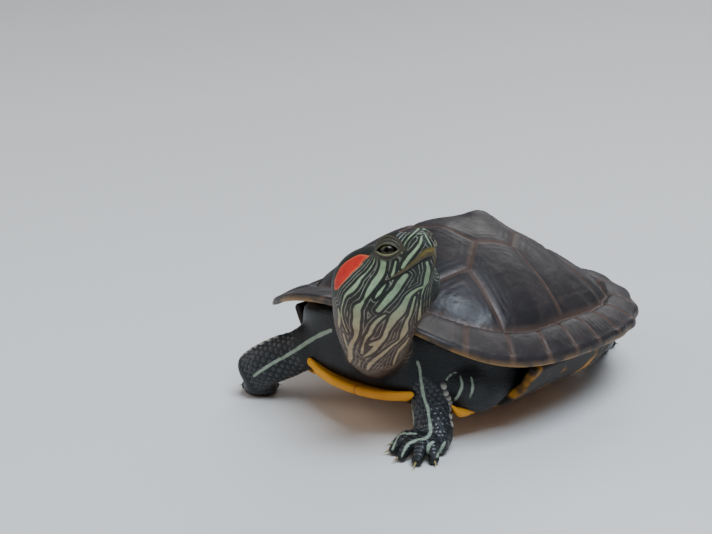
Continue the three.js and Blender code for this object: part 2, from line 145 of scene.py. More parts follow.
def toHead(points):
    return (points - headPose["tip"]) @ headTurn


def fromShell(points):
    return np.asarray(points, float) @ shellTurn.T + shellMiddle


def toShell(points):
    return (points - shellMiddle) @ shellTurn


def boxMiddle(node):
    low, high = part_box(node)
    return np.array((low + high) / 2) * 1000


eyesMiddle = fromHead([[0, eye["node"][1], eye["node"][2]]])[0]
shift = (boxMiddle("eye_left") + boxMiddle("eye_right")) / 2 - eyesMiddle
shift[2] = 0
print("shift to the frame, mm:", shift.round(3))


def inScene(points):
    return (np.asarray(points, float) + shift) / 1000


# The camera looks down on the turtle from its left front.
camera = {
    "azimuth": 37.5,
    "elevation": 16.7,
    "focal": 1600,                      # in pixels of the view
    "view": (712, 534),
    "target": np.array([0, 0, 20.0]),   # a point of the turtle
    "targetPixel": (456.6, 313.8),      # where it shows in the view
    "targetDepth": 420,                 # mm
    "sensor": 36,
    "clip": (0.01, 50),                 # m
}


def cameraAxes():
    a, e = math.radians(camera["azimuth"]), math.radians(camera["elevation"])
    back = np.array([math.sin(a) * math.cos(e), -math.cos(a) * math.cos(e), math.sin(e)])
    right = np.array([math.cos(a), math.sin(a), 0])
    return right, np.cross(back, right), back


camRight, camUp, camBack = cameraAxes()


def pixelRay(x, y):
    across = x - camera["view"][0] / 2
    down = y - camera["view"][1] / 2
    return camRight * across - camUp * down - camBack * camera["focal"]


camPlace = camera["target"] - pixelRay(*camera["targetPixel"]) * camera["targetDepth"] / camera["focal"]


def addCamera():
    data = bpy.data.cameras.new("camera")
    data.sensor_width = camera["sensor"]
    data.lens = camera["sensor"] * camera["focal"] / camera["view"][0]
    data.clip_start, data.clip_end = camera["clip"]
    made = bpy.data.objects.new("camera", data)
    bpy.context.scene.collection.objects.link(made)
    made.location = inScene(camPlace)
    made.rotation_mode = "QUATERNION"
    made.rotation_quaternion = Vector(-camBack).to_track_quat("-Z", "Y")
    bpy.context.scene.camera = made


addCamera()
print("camera placed")


# Curves and tables.
def ease(value):
    part = np.clip(value, 0, 1)
    return part * part * (3 - 2 * part)


def smoothRows(rows, count):
    # Rows of numbers joined by a smooth curve through all of them, evenly in row number.
    rows = np.asarray(rows, float)
    before = np.vstack([rows[:1], rows[:-1]])
    after = np.vstack([rows[1:], rows[-1:]])
    slopes = (after - before) / 2
    places = np.linspace(0, len(rows) - 1, count)
    row = np.minimum(places.astype(int), len(rows) - 2)
    t = (places - row)[:, None]
    a, b = rows[row], rows[row + 1]
    ta, tb = slopes[row], slopes[row + 1]
    return ((2 * a - 2 * b + ta + tb) * t + (-3 * a + 3 * b - 2 * ta - tb)) * t * t + ta * t + a


def routePoints(stops, count):
    # The route through the stops, a centripetal Catmull-Rom curve.
    stops = np.asarray(stops, float)
    ends = np.vstack([2 * stops[0] - stops[1], stops, 2 * stops[-1] - stops[-2]])
    places = np.linspace(0, len(stops) - 1, count)
    made = []
    for place in places:
        row = min(int(place), len(stops) - 2)
        t = place - row
        p = ends[row:row + 4]
        d = [max(np.linalg.norm(p[i + 1] - p[i]) ** 0.5, 1e-4) for i in range(3)]
        ta = ((p[1] - p[0]) / d[0] - (p[2] - p[0]) / (d[0] + d[1]) + (p[2] - p[1]) / d[1]) * d[1]
        tb = ((p[2] - p[1]) / d[1] - (p[3] - p[1]) / (d[1] + d[2]) + (p[3] - p[2]) / d[2]) * d[1]
        cubic = (2 * p[1] - 2 * p[2] + ta + tb) * t + (-3 * p[1] + 3 * p[2] - 2 * ta - tb)
        made.append(cubic * t * t + ta * t + p[1])
    return np.array(made)


def unit(vectors):
    return vectors / np.maximum(np.linalg.norm(vectors, axis=-1, keepdims=True), 1e-9)


# A field gives the distance to a shape in mm, below 0 inside it.
def smoothMin(a, b, blend):
    overlap = np.maximum(blend - np.abs(a - b), 0) / blend
    return np.minimum(a, b) - overlap * overlap * blend / 4


def smoothMax(a, b, blend):
    return -smoothMin(-a, -b, blend)


def ballField(points, centre, radius):
    return np.linalg.norm(points - np.asarray(centre), axis=1) - radius


def ovalField(points, centre, radii):
    local = (points - np.asarray(centre)) / np.asarray(radii)
    size = np.maximum(np.linalg.norm(local, axis=1), 1e-6)
    return np.linalg.norm(points - np.asarray(centre), axis=1) * (1 - 1 / size)


class Limb:
    # An oval section swept along a route: each stop is x, y, z, half width and half depth.
    def __init__(self, stops, top, blend=1.5, power=2.2, perStop=5):
        stops = np.asarray(stops, float)
        count = (len(stops) - 1) * perStop + 1
        self.points = routePoints(stops[:, :3], count)
        self.ahead = unit(np.gradient(self.points, axis=0))
        self.across = unit(np.cross(self.ahead, unit(np.asarray(top, float))))
        self.over = np.cross(self.across, self.ahead)
        self.sizes = smoothRows(stops[:, 3:5], count)
        self.blend = blend
        self.power = power
        reach = self.sizes.max() * 1.3 + blend + 1
        self.low = self.points.min(0) - reach
        self.high = self.points.max(0) + reach

    def place(self, points):
        best = np.full(len(points), 1e9, np.float32)
        along = np.zeros(len(points), np.float32)
        for index in range(len(self.points) - 1):
            a = self.points[index]
            step = self.points[index + 1] - a
            t = np.clip((points - a) @ step / (step @ step), 0, 1)
            gap = points - a - t[:, None] * step
            far = np.einsum("ij,ij->i", gap, gap)
            nearer = far < best
            best[nearer] = far[nearer]
            along[nearer] = index + t[nearer]
        return along

    def at(self, along, rows):
        low = np.minimum(along.astype(int), len(rows) - 2)
        part = (along - low)[:, None]
        return rows[low] * (1 - part) + rows[low + 1] * part

    def local(self, points):
        along = self.place(points)
        gap = points - self.at(along, self.points)
        u = np.einsum("ij,ij->i", gap, self.at(along, self.across))
        v = np.einsum("ij,ij->i", gap, self.at(along, self.over))
        w = np.einsum("ij,ij->i", gap, self.at(along, self.ahead))
        return along, u, v, w

    def distance(self, points):
        along, u, v, w = self.local(points)
        wide, deep = self.at(along, self.sizes).T
        size = (np.abs(u / wide) ** self.power + np.abs(v / deep) ** self.power) ** (2 / self.power)
        size = np.sqrt(size + (w / np.minimum(wide, deep)) ** 2)
        size = np.maximum(size, 1e-4)
        return np.sqrt(u * u + v * v + w * w) * (1 - 1 / size)

    def surfaceLine(self, angle, start=0, end=1, count=24):
        # A line along the limb's surface at one angle round it: 0 is across, 90 is over.
        along = np.linspace(start, end, count) * (len(self.points) - 1)
        wide, deep = self.at(along, self.sizes).T
        a = math.radians(angle)
        return (self.at(along, self.points)
                + self.at(along, self.across) * (wide * math.cos(a))[:, None]
                + self.at(along, self.over) * (deep * math.sin(a))[:, None])


# The form of the shell, as parts of its radius and turns from the front.
def rimPoint(turn):
    halfWidth = shell["width"] / 2 * (1 - shell["egg"] * np.cos(turn))
    halfLength = shell["length"] / 2
    power = shell["squareness"]
    across = (np.abs(np.sin(turn)) / halfWidth) ** power
    along = (np.abs(np.cos(turn)) / halfLength) ** power
    start, span = shell["serrated"]
    rear = ease((-np.cos(turn) - start) / span)
    notch = shell["serration"] * rear * (0.5 + 0.5 * np.cos(shell["notches"] * turn))
    reach = (across + along) ** (-1 / power) - notch
    x, y = reach * np.sin(turn), -reach * np.cos(turn)
    arch = np.where(y < 0, shell["frontArch"], shell["rearArch"])
    z = shell["rimLift"] + arch * np.minimum(np.abs(y) / halfLength, 1) ** shell["archPower"]
    return x, y, z


def roundShell(name, turn):
    # A value that changes from the front of the shell to its back.
    table = np.array(shell[name])
    return np.interp(np.degrees(np.abs(turn)), table[:, 0], table[:, 1])


def domeHeight(part, turn):
    start, margin = roundShell("marginStart", turn), roundShell("marginRise", turn)
    inner = np.minimum(part / start, 1)
    power = shell["rearPower"] + (shell["frontPower"] - shell["rearPower"]) * (0.5 + 0.5 * np.cos(turn))
    outer = np.maximum((part - start) / (1 - start), 0)
    dome = margin + (shell["rise"] - margin) * (1 - inner ** power)
    groove = shell["grooveDepth"] * np.exp(-(((part - start) / shell["grooveWidth"]) ** 2))
    return dome - margin * outer ** shell["marginPower"] - groove


keel = {
    "knobs": [(-30, 0.7), (-11, 1), (9, 2.3), (15.5, 1), (28, 0.5), (39, 0.4)],     # y and rise of each
    "knobLength": 5,
    "width": 4,
}


def keelHeight(x, y):
    row = sum(rise * np.exp(-(((y - at) / keel["knobLength"]) ** 2)) for at, rise in keel["knobs"])
    return row * np.exp(-((x / keel["width"]) ** 2))


def shellPoint(part, turn, sink=0):
    rimX, rimY, rimZ = rimPoint(turn)
    x = rimX * part
    y = shell["peakY"] + (rimY - shell["peakY"]) * part
    z = rimZ * part ** shell["rimPower"] + domeHeight(part, turn) + keelHeight(x, y) - sink
    return np.stack(np.broadcast_arrays(x, y, z), -1)


def shellPlace(x, y):
    # The part of the radius, the turn and the radius itself of a point of the plan.
    turns = np.linspace(-math.pi, math.pi, 721)
    rimX, rimY, _ = rimPoint(turns)
    bearing = np.arctan2(rimX, -(rimY - shell["peakY"]))
    radius = np.hypot(rimX, rimY - shell["peakY"])
    here = np.arctan2(x, -(y - shell["peakY"]))
    limit = np.interp(here, bearing, radius)
    return np.hypot(x, y - shell["peakY"]) / limit, np.interp(here, bearing, turns), limit


# Flesh: the fields of the whole body.
trunkShape = {
    "reach": 0.84,
    "waist": 0.035,         # less than that between the legs, inside the bridges
    "waistHalf": 20,        # half the waist's length
    "middle": -3,
    "belly": 9,
    "roofGap": 4.3,         # the back lies this far under the carapace's outside
    "floor": -11.6,         # it rests on the plastron
    "swell": 2,             # the back's own arch over that of the dome
    "neckSwell": 5,         # and more of it towards the neck
    "blend": 3,
}


class Trunk:
    blend = 3.5
    low = np.array([-42, -46, 4])
    high = np.array([42, 48, 46])

    def distance(self, points):
        q = toShell(points)
        part, turn, limit = shellPlace(q[:, 0], q[:, 1])
        inside = np.minimum(part, 1)
        rimZ = rimPoint(turn)[2]
        roof = rimZ * inside ** shell["rimPower"] + domeHeight(inside, turn) - trunkShape["roofGap"]
        arch = np.sqrt(np.maximum(1 - inside ** 4, 0))
        swell = trunkShape["middle"] + (shell["rise"] + trunkShape["swell"]) * arch
        roof = np.minimum(roof, swell + trunkShape["neckSwell"] * np.maximum(np.cos(turn), 0))
        belly = trunkShape["middle"] - trunkShape["belly"] * arch
        base = np.maximum(belly, trunkShape["floor"])
        narrow = np.exp(-((q[:, 1] / trunkShape["waistHalf"]) ** 4))
        reach = trunkShape["reach"] - trunkShape["waist"] * narrow
        side = (part - reach) * limit * 0.9
        rounding = trunkShape["blend"]
        return smoothMax(smoothMax(q[:, 2] - roof, base - q[:, 2], rounding), side, rounding)


class ShellBall:
    # An oval of loose skin, placed in the shell's frame.
    def __init__(self, centre, radii, blend):
        self.centre, self.radii, self.blend = np.array(centre), np.array(radii), blend
        middle = fromShell([centre])[0]
        self.low = middle - max(radii) - blend - 1
        self.high = middle + max(radii) + blend + 1

    def distance(self, points):
        return ovalField(toShell(points), self.centre, self.radii)


headShape = {
    # back from the tip, half width, top, bottom
    "stops": [
        [0, 1.7, 2.1, -2.2],
        [1, 2.5, 3.1, -2.8],
        [3, 3.8, 4.4, -3.6],
        [6, 5.2, 5.1, -4.4],
        [9, 6.4, 5.4, -5.5],
        [13, 7.9, 6.4, -6.7],
        [17, 9.1, 7.6, -7.3],
        [21, 9.5, 8.7, -8.2],
        [24.5, 8.9, 8, -8.6],
        [27, 6.9, 5.6, -7.6],
    ],
    # the mouth from the notch of the beak to its corner: back and up
    "mouth": [[-3, -2.3], [0, -2.35], [2, -2.55], [4, -2.8], [6, -2.9], [8, -2.85], [9.4, -2.7]],
    "mouthDepth": 0.32,     # of the groove
    "mouthWidth": 0.26,
    "overhang": 0.28,       # the beak stands out over the lower jaw
    "eyeBulge": 0.54,       # the lids' outside over the eyeball
    "lidBlend": 1.5,
    "brow": ([2.9, 4.2, 4.4], [4.2, 9.2, 5], 0.8),      # its two ends and its radius
    "browBlend": 2.4,
    "cheek": ([6.3, 16.5, -3.2], [3.6, 5, 4.2]),        # middle and half sizes
    "cheekBlend": 3,
    "ear": ([17.6, 0.4], 2.4, 0.14),       # back and up, radius, depth of the ring round it
    "earWidth": 0.45,       # of that ring
    "nostril": ([0.56, 0.25, 2.2], 0.44),  # middle and radius
    "sidePower": 2.4,       # how square the head is from side to side
    "heightPower": 2.2,     # and up and down
    "bothPower": 2.3,       # and how the two join
    "tipLength": 1.2,       # the snout's rounding ahead of its tip
    "napeLength": 3,
    # height of the beak's horn over the mouth, at places back from the tip
    "hornBack": [-1, 0.5, 2, 4, 6, 8],
    "hornHeight": [1.5, 1.3, 0.8, 0.62, 0.55, 0.42, 0.2],
}
lids = {
    "fade": 4.6,            # the folds end this far from the eye's middle
    "firstFold": 0.25,      # mm outside the opening
    "reachAbove": 3,        # how far the folds go beyond the opening, above it and below
    "reachBelow": 1.9,
    "foldStep": 0.8,
    "foldDepth": 0.07,
    "holeFloor": 0.7,       # mm ahead of the eye's middle that the opening is cut to
    "holeReach": 5,         # mm from the eye's middle, past which nothing is cut
    "holeBlend": 0.22,      # the rounding of the lids' edges
}
headScale = headPose["scale"]
headTable = np.array(headShape["stops"]) * headScale
mouthTable = np.array(headShape["mouth"]) * headScale
eyeGaze = unit(eye["gaze"])


def slitAxes():
    # The slit lies level as seen from the camera, on the right eye, and is mirrored for the left.
    gaze = eyeGaze * [-1, 1, 1]
    level = headTurn.T @ camRight
    along = unit(level - (level @ gaze) * gaze)
    up = np.cross(along, gaze)
    if up @ (headTurn.T @ camUp) < 0:
        up = -up
    return along * [-1, 1, 1], up * [-1, 1, 1]


slitAlong, slitUp = slitAxes()


def stationSizes(table, back):
    place = np.interp(back, table[:, 0], np.arange(len(table)))
    dense = smoothRows(table[:, 1:], (len(table) - 1) * 12 + 1)
    grid = np.arange(len(dense)) / 12
    return [np.interp(place, grid, dense[:, column]) for column in range(dense.shape[1])]


def lidPlace(mirrored):
    # Along and above the slit, outward from the eyeball, and how far outside the opening.
    gap = mirrored - eye["place"]
    along, up, out = gap @ slitAlong, gap @ slitUp, gap @ eyeGaze
    bow = 1 - np.minimum((along / eye["slitLength"]) ** 2, 4)
    outside = np.maximum(up - eye["upper"] * bow, -up - eye["lower"] * bow)
    return along, up, out, outside, np.linalg.norm(gap, axis=1)


def rightHalf(q):
    # The same points brought to one side of the head.
    m = q * [1, 1, 1]
    m[:, 0] = np.abs(q[:, 0])
    return m


def mouthPlace(q):
    return q[:, 2] - np.interp(q[:, 1], mouthTable[:, 0], mouthTable[:, 1])


class Head:
    blend = 3
    corners = fromHead([[x, y, z] for x in (-13, 13) for y in (-3, 33) for z in (-13, 12)])
    low, high = corners.min(0), corners.max(0)

    def distance(self, points):
        shape = headShape
        q = toHead(points)
        m = rightHalf(q)
        wide, top, bottom = stationSizes(headTable, q[:, 1])
        middle, deep = (top + bottom) / 2, (top - bottom) / 2
        size = (np.abs(q[:, 0] / wide) ** shape["sidePower"]
                + np.abs((q[:, 2] - middle) / deep) ** shape["heightPower"])
        ahead = np.minimum(q[:, 1], 0)
        behind = np.maximum(q[:, 1] - headTable[-1, 0], 0)
        tip, nape = ahead / shape["tipLength"], behind / shape["napeLength"]
        size = np.sqrt(np.maximum(size, 1e-8) ** (2 / shape["bothPower"]) + tip ** 2 + nape ** 2)
        reach = np.sqrt(q[:, 0] ** 2 + (q[:, 2] - middle) ** 2 + ahead ** 2 + behind ** 2)
        field = reach * (1 - 1 / np.maximum(size, 1e-4))
        eyeBall = ballField(m, eye["place"], eye["radius"] + shape["eyeBulge"])
        field = smoothMin(field, eyeBall, shape["lidBlend"])
        a, b, radius = shape["brow"]
        a, b = np.array(a) * headScale, np.array(b) * headScale
        t = np.clip((m - a) @ (b - a) / ((b - a) @ (b - a)), 0, 1)
        brow = np.linalg.norm(m - a - t[:, None] * (b - a), axis=1) - radius * headScale
        field = smoothMin(field, brow, shape["browBlend"])
        centre, radii = shape["cheek"]
        cheek = ovalField(m, np.array(centre) * headScale, np.array(radii) * headScale)
        field = smoothMin(field, cheek, shape["cheekBlend"])
        return self.cutDetails(field, q, m)

    def cutDetails(self, field, q, m):
        corner = mouthTable[-1, 0]
        up = mouthPlace(q)
        front = ease((corner + 0.4 - q[:, 1]) / 1.2)
        field = field + front * headShape["mouthDepth"] * np.exp(-((up / headShape["mouthWidth"]) ** 2))
        field = field + front * headShape["overhang"] * ease(-up / 0.5) * np.exp(np.minimum(up, 0) / 2.2)
        place, radius, depth = headShape["ear"]
        back, height = np.array(place) * headScale
        ring = np.hypot(q[:, 1] - back, q[:, 2] - height) - radius
        field = field + depth * np.exp(-((ring / headShape["earWidth"]) ** 2))
        _, _, out, outside, far = lidPlace(m)
        near = ease((lids["fade"] - far) / 1.2) * ease((out + 0.4) / 1.2)
        reach = np.where(m @ slitUp > eye["place"] @ slitUp, lids["reachAbove"], lids["reachBelow"])
        folds = ease((outside - lids["firstFold"]) / 0.4) * ease((reach - outside) / 1.2)
        field = field + near * folds * lids["foldDepth"] * np.cos(outside * 2 * math.pi / lids["foldStep"])
        hole = np.maximum(outside, lids["holeFloor"] - out)
        hole = np.where(far < lids["holeReach"], hole, lids["holeReach"])
        field = smoothMax(field, -hole, lids["holeBlend"])
        centre, radius = headShape["nostril"]
        pit = ballField(m, np.array(centre) * headScale, radius)
        return smoothMax(field, -pit, 0.15)


neckStops = [
    [0, -34, 19.5, 7, 6.5],
    [4.4, -41.4, 22.4, 6.4, 6.1],
    [9, -47.5, 28, 8.3, 7.9],
    [12.4, -51.5, 35.2, 10, 9.1],
    [13.3, -52.3, 42.3, 10.6, 9.6],
]
neckLimb = Limb(neckStops, [0.5, -0.3, 0.6], blend=2.5)

# Each leg: top is the side its sections turn up, the rows are x, y, z and two half sizes, and a toe is
# the x and y of its tip and its half width.
legs = {
    "fore_left": {
        "top": [0.58, -0.76, 0.2],
        "upper": [[12, -27, 14, 5.5, 5.5], [14, -31, 17, 5, 5], [14.6, -33.6, 19, 3.8, 3.8]],
        "lower": [
            [14.8, -34.6, 18.6, 3.2, 3.4],
            [15.8, -35.4, 14.8, 3.8, 3.6],
            [17.4, -36.4, 10, 4.6, 3.4],
            [19.4, -38, 5, 4.6, 3.2],
        ],
        "sole": [[20, -38.6, 3.8, 4.5, 3.4], [20.4, -41.4, 2.6, 4.8, 2.9]],
        "knuckle": 3.9,
        "toes": [
            [13, -44.8, 1.45],
            [14.6, -47.6, 1.5],
            [18.2, -49.6, 1.5],
            [22.8, -49.6, 1.55],
            [25.4, -46.4, 1.45],
        ],
    },
    "fore_right": {
        "top": [0.58, -0.76, 0.2],
        "upper": [[-11, -27, 17, 5.5, 5.5], [-16.5, -31, 18, 5.6, 5.4], [-21.4, -34.4, 16.2, 5, 4.4]],
        "lower": [
            [-22, -34.8, 15.6, 5, 3.8],
            [-27.5, -36.8, 12.8, 5.6, 3.7],
            [-33, -38.8, 9.8, 5.4, 3.6],
            [-36.6, -39.8, 7.6, 4.8, 3.3],
        ],
        "sole": [[-35.4, -38.2, 4.6, 3.8, 3.2], [-36.6, -36.6, 2.6, 4.4, 2.9]],
        "knuckle": 2.8,
        "toes": [
            [-41.7, -36.7, 1.3],
            [-41.3, -34.2, 1.35],
            [-40, -32.2, 1.4],
            [-38, -31.4, 1.35],
            [-35.8, -31.9, 1.3],
        ],
    },
    "hind_left": {
        "top": [0.3, 0.2, 1],
        "upper": [[12, 26, 12, 5.5, 5], [19, 29.5, 12, 5.4, 5], [22.4, 34.5, 9.8, 4.6, 4.2]],
        "lower": [[22.6, 35, 9.3, 4.2, 3.9], [21, 40, 6.6, 3.8, 3.4], [18.4, 44.6, 4.4, 3.5, 3]],
        "sole": [[17.6, 45, 3.4, 3.5, 2.9], [15.8, 47.8, 2.6, 4.2, 2.9]],
        "knuckle": 2.8,
        "toes": [[11, 51, 1.4], [13.2, 52.8, 1.45], [16, 53, 1.45], [18.6, 51.4, 1.4]],
    },
    "hind_right": {
        "top": [-0.3, 0.2, 1],
        "upper": [[-12, 26, 12, 6, 6], [-20, 27, 12, 5.6, 5.2], [-25, 31, 10, 4.8, 4.4]],
        "lower": [[-25.4, 31.6, 9.5, 4.3, 4], [-25.6, 36, 6.8, 3.9, 3.5], [-24.8, 40, 4.5, 3.6, 3]],
        "sole": [[-24.8, 40.6, 3.4, 3.6, 2.9], [-25.6, 43.8, 2.6, 4.3, 2.9]],
        "knuckle": 2.8,
        "toes": [[-22.4, 48.8, 1.4], [-25.4, 50.2, 1.45], [-28.4, 49.4, 1.45], [-30.8, 46.8, 1.4]],
    },
}
tailStops = [
    [0, 36, 12.5, 4, 3.6],
    [-1, 43, 11.5, 2.7, 2.5],
    [-4, 49, 9.5, 1.7, 1.6],
    [-9, 52, 7.5, 0.8, 0.8],
]


def toeStops(heel, toe, knuckle):
    x, y, wide = toe
    return [
        [heel[0], heel[1], 2.8, wide * 1.1, 1.9],
        [heel[0] + (x - heel[0]) * 0.62, heel[1] + (y - heel[1]) * 0.62, knuckle, wide, 1.5],
        [x, y, 1.4, wide * 0.85, 1.2],
    ]


legLimbs = {}
for legName, leg in legs.items():
    legHeel = leg["sole"][-1]
    legLimbs[legName] = {
        "upper": Limb(leg["upper"], leg["top"], blend=2.5),
        "lower": Limb(leg["lower"], leg["top"], blend=2),
        "sole": Limb(leg["sole"], [0, 0, 1], blend=1.6, power=2.6),
        "toes": [Limb(toeStops(legHeel, toe, leg["knuckle"]), [0, 0, 1], blend=0.9) for toe in leg["toes"]],
    }
tailLimb = Limb(tailStops, [0, 0, 1], blend=2)
# The fold of skin behind the left forearm, pushed out by the upper arm.
foldStops = [[22.6, -30, 20, 3, 3], [23.6, -31, 16, 4.4, 4.4], [23, -30.6, 12.6, 3.6, 3.6]]
foldLimb = Limb(foldStops, legs["fore_left"]["top"], blend=1.5)
looseSkin = {               # round the legs' roots: aside, back and up, the half sizes and the blend
    "shoulder": ([24, -25, -8.5], [5.6, 6.5, 6], 3),
    "groin": ([21, 30, -8], [7, 7, 5], 3),
}


def bodyParts():
    parts = [Trunk(), foldLimb]
    for (aside, back, up), radii, blend in looseSkin.values():
        parts += [ShellBall([side * aside, back, up], radii, blend) for side in (-1, 1)]
    parts += [tailLimb]
    for limbs in legLimbs.values():
        parts += [limbs["upper"], limbs["lower"], limbs["sole"], *limbs["toes"]]
    return parts + [neckLimb, Head()]


# A mesh made from fields.
def gridAxis(*stretches):
    # Each stretch is its end and its step; the first gives only the start.
    places = [stretches[0]]
    for end, step in stretches[1:]:
        count = max(round((end - places[-1]) / step), 1)
        places += list(places[-1] + (end - places[-1]) * (np.arange(count) + 1) / count)
    return np.array(places)


def fieldAt(parts, points, far=2.5):
    field = np.full(len(points), far)
    for part in parts:
        near = np.flatnonzero(np.all((points > part.low) & (points < part.high), axis=1))
        if len(near):
            field[near] = smoothMin(field[near], part.distance(points[near]), part.blend)
    return field


def fieldOnGrid(parts, axes, far=2.5, block=4):
    # A coarse pass finds the blocks that the surface may cross, and only those are worked out fully.
    coarse = [axis[::block] for axis in axes]
    corners = np.stack(np.meshgrid(*coarse, indexing="ij"), -1)
    rough = fieldAt(parts, corners.reshape(-1, 3), 30).reshape(corners.shape[:3])
    nearest = np.abs(rough)
    for axis in range(3):
        nearest = np.minimum(nearest, np.roll(nearest, -1, axis))     # the nearest of a block's corners
    spans = [np.append(np.diff(axis), axis[-1] - axis[-2]) for axis in coarse]
    spans = np.stack(np.meshgrid(*spans, indexing="ij"), -1)
    crossed = nearest < np.linalg.norm(spans, axis=-1) * 0.6 + 0.2
    size = [len(axis) for axis in axes]
    spread = [np.minimum(np.arange(n) // block, len(c) - 1) for n, c in zip(size, coarse)]
    field = np.clip(rough, -far, far)[np.ix_(*spread)].astype(np.float32)
    field = np.where(field < 0, -far, far).astype(np.float32)
    chosen = np.argwhere(crossed[np.ix_(*spread)])
    points = np.stack([axes[i][chosen[:, i]] for i in range(3)], 1)
    here = np.clip(fieldAt(parts, points, far), -far, far)
    field[chosen[:, 0], chosen[:, 1], chosen[:, 2]] = here
    print("  grid", size, "worked out", len(points))
    return field


def fitToField(parts, mm, steps=2, most=0.3):
    # Moves points straight onto the surface of the fields.
    for _ in range(steps):
        here = fieldAt(parts, mm)
        step = 0.04
        slope = np.stack([(fieldAt(parts, mm + step * np.eye(3)[i]) - here) / step for i in range(3)], 1)
        steep = np.maximum(np.einsum("ij,ij->i", slope, slope), 0.25)
        move = -(here / steep)[:, None] * slope
        length = np.linalg.norm(move, axis=1, keepdims=True)
        mm = mm + move * np.minimum(1, most / np.maximum(length, 1e-9))
    return mm


def surfaceOf(parts, axes):
    grid = openvdb.FloatGrid(2.5)
    grid.copyFromArray(fieldOnGrid(parts, axes))
    points, quads = grid.convertToQuads(isovalue=0)
    places = np.arange(max(len(axis) for axis in axes))
    mm = np.stack([np.interp(points[:, i], places[:len(axes[i])], axes[i]) for i in range(3)], 1)
    mm = fitToField(parts, mm)
    return mm, outward(mm, quads)


def outward(points, quads):
    a, b, c = points[quads[:, 0]], points[quads[:, 1]], points[quads[:, 2]]
    d = points[quads[:, 3]]
    volume = np.einsum("ij,ij->i", a, np.cross(b, c)).sum() + np.einsum("ij,ij->i", a, np.cross(c, d)).sum()
    return quads if volume > 0 else quads[:, ::-1]


def meshObject(name, points, faces):
    data = bpy.data.meshes.new(name)
    data.from_pydata(inScene(points).tolist(), [], faces.tolist() if hasattr(faces, "tolist") else faces)
    data.polygons.foreach_set("use_smooth", np.ones(len(data.polygons), bool))
    data.update()
    made = bpy.data.objects.new(name, data)
    bpy.context.scene.collection.objects.link(made)
    return made


bodyGrid = [                # finer where the head, neck and legs are
    gridAxis(-47, (3, 0.6), (31, 0.3), (45, 0.6)),
    gridAxis(-63, (-38, 0.3), (59, 0.6)),
    gridAxis(-1.4, (8, 0.4), (34, 0.6), (60, 0.3)),
]
bodyFields = bodyParts()
skinPoints, skinQuads = surfaceOf(bodyFields, bodyGrid)
skinPoints[:, 2] = np.maximum(skinPoints[:, 2], 0)       # soles are pressed flat on the floor
print("skin:", len(skinQuads), "faces")

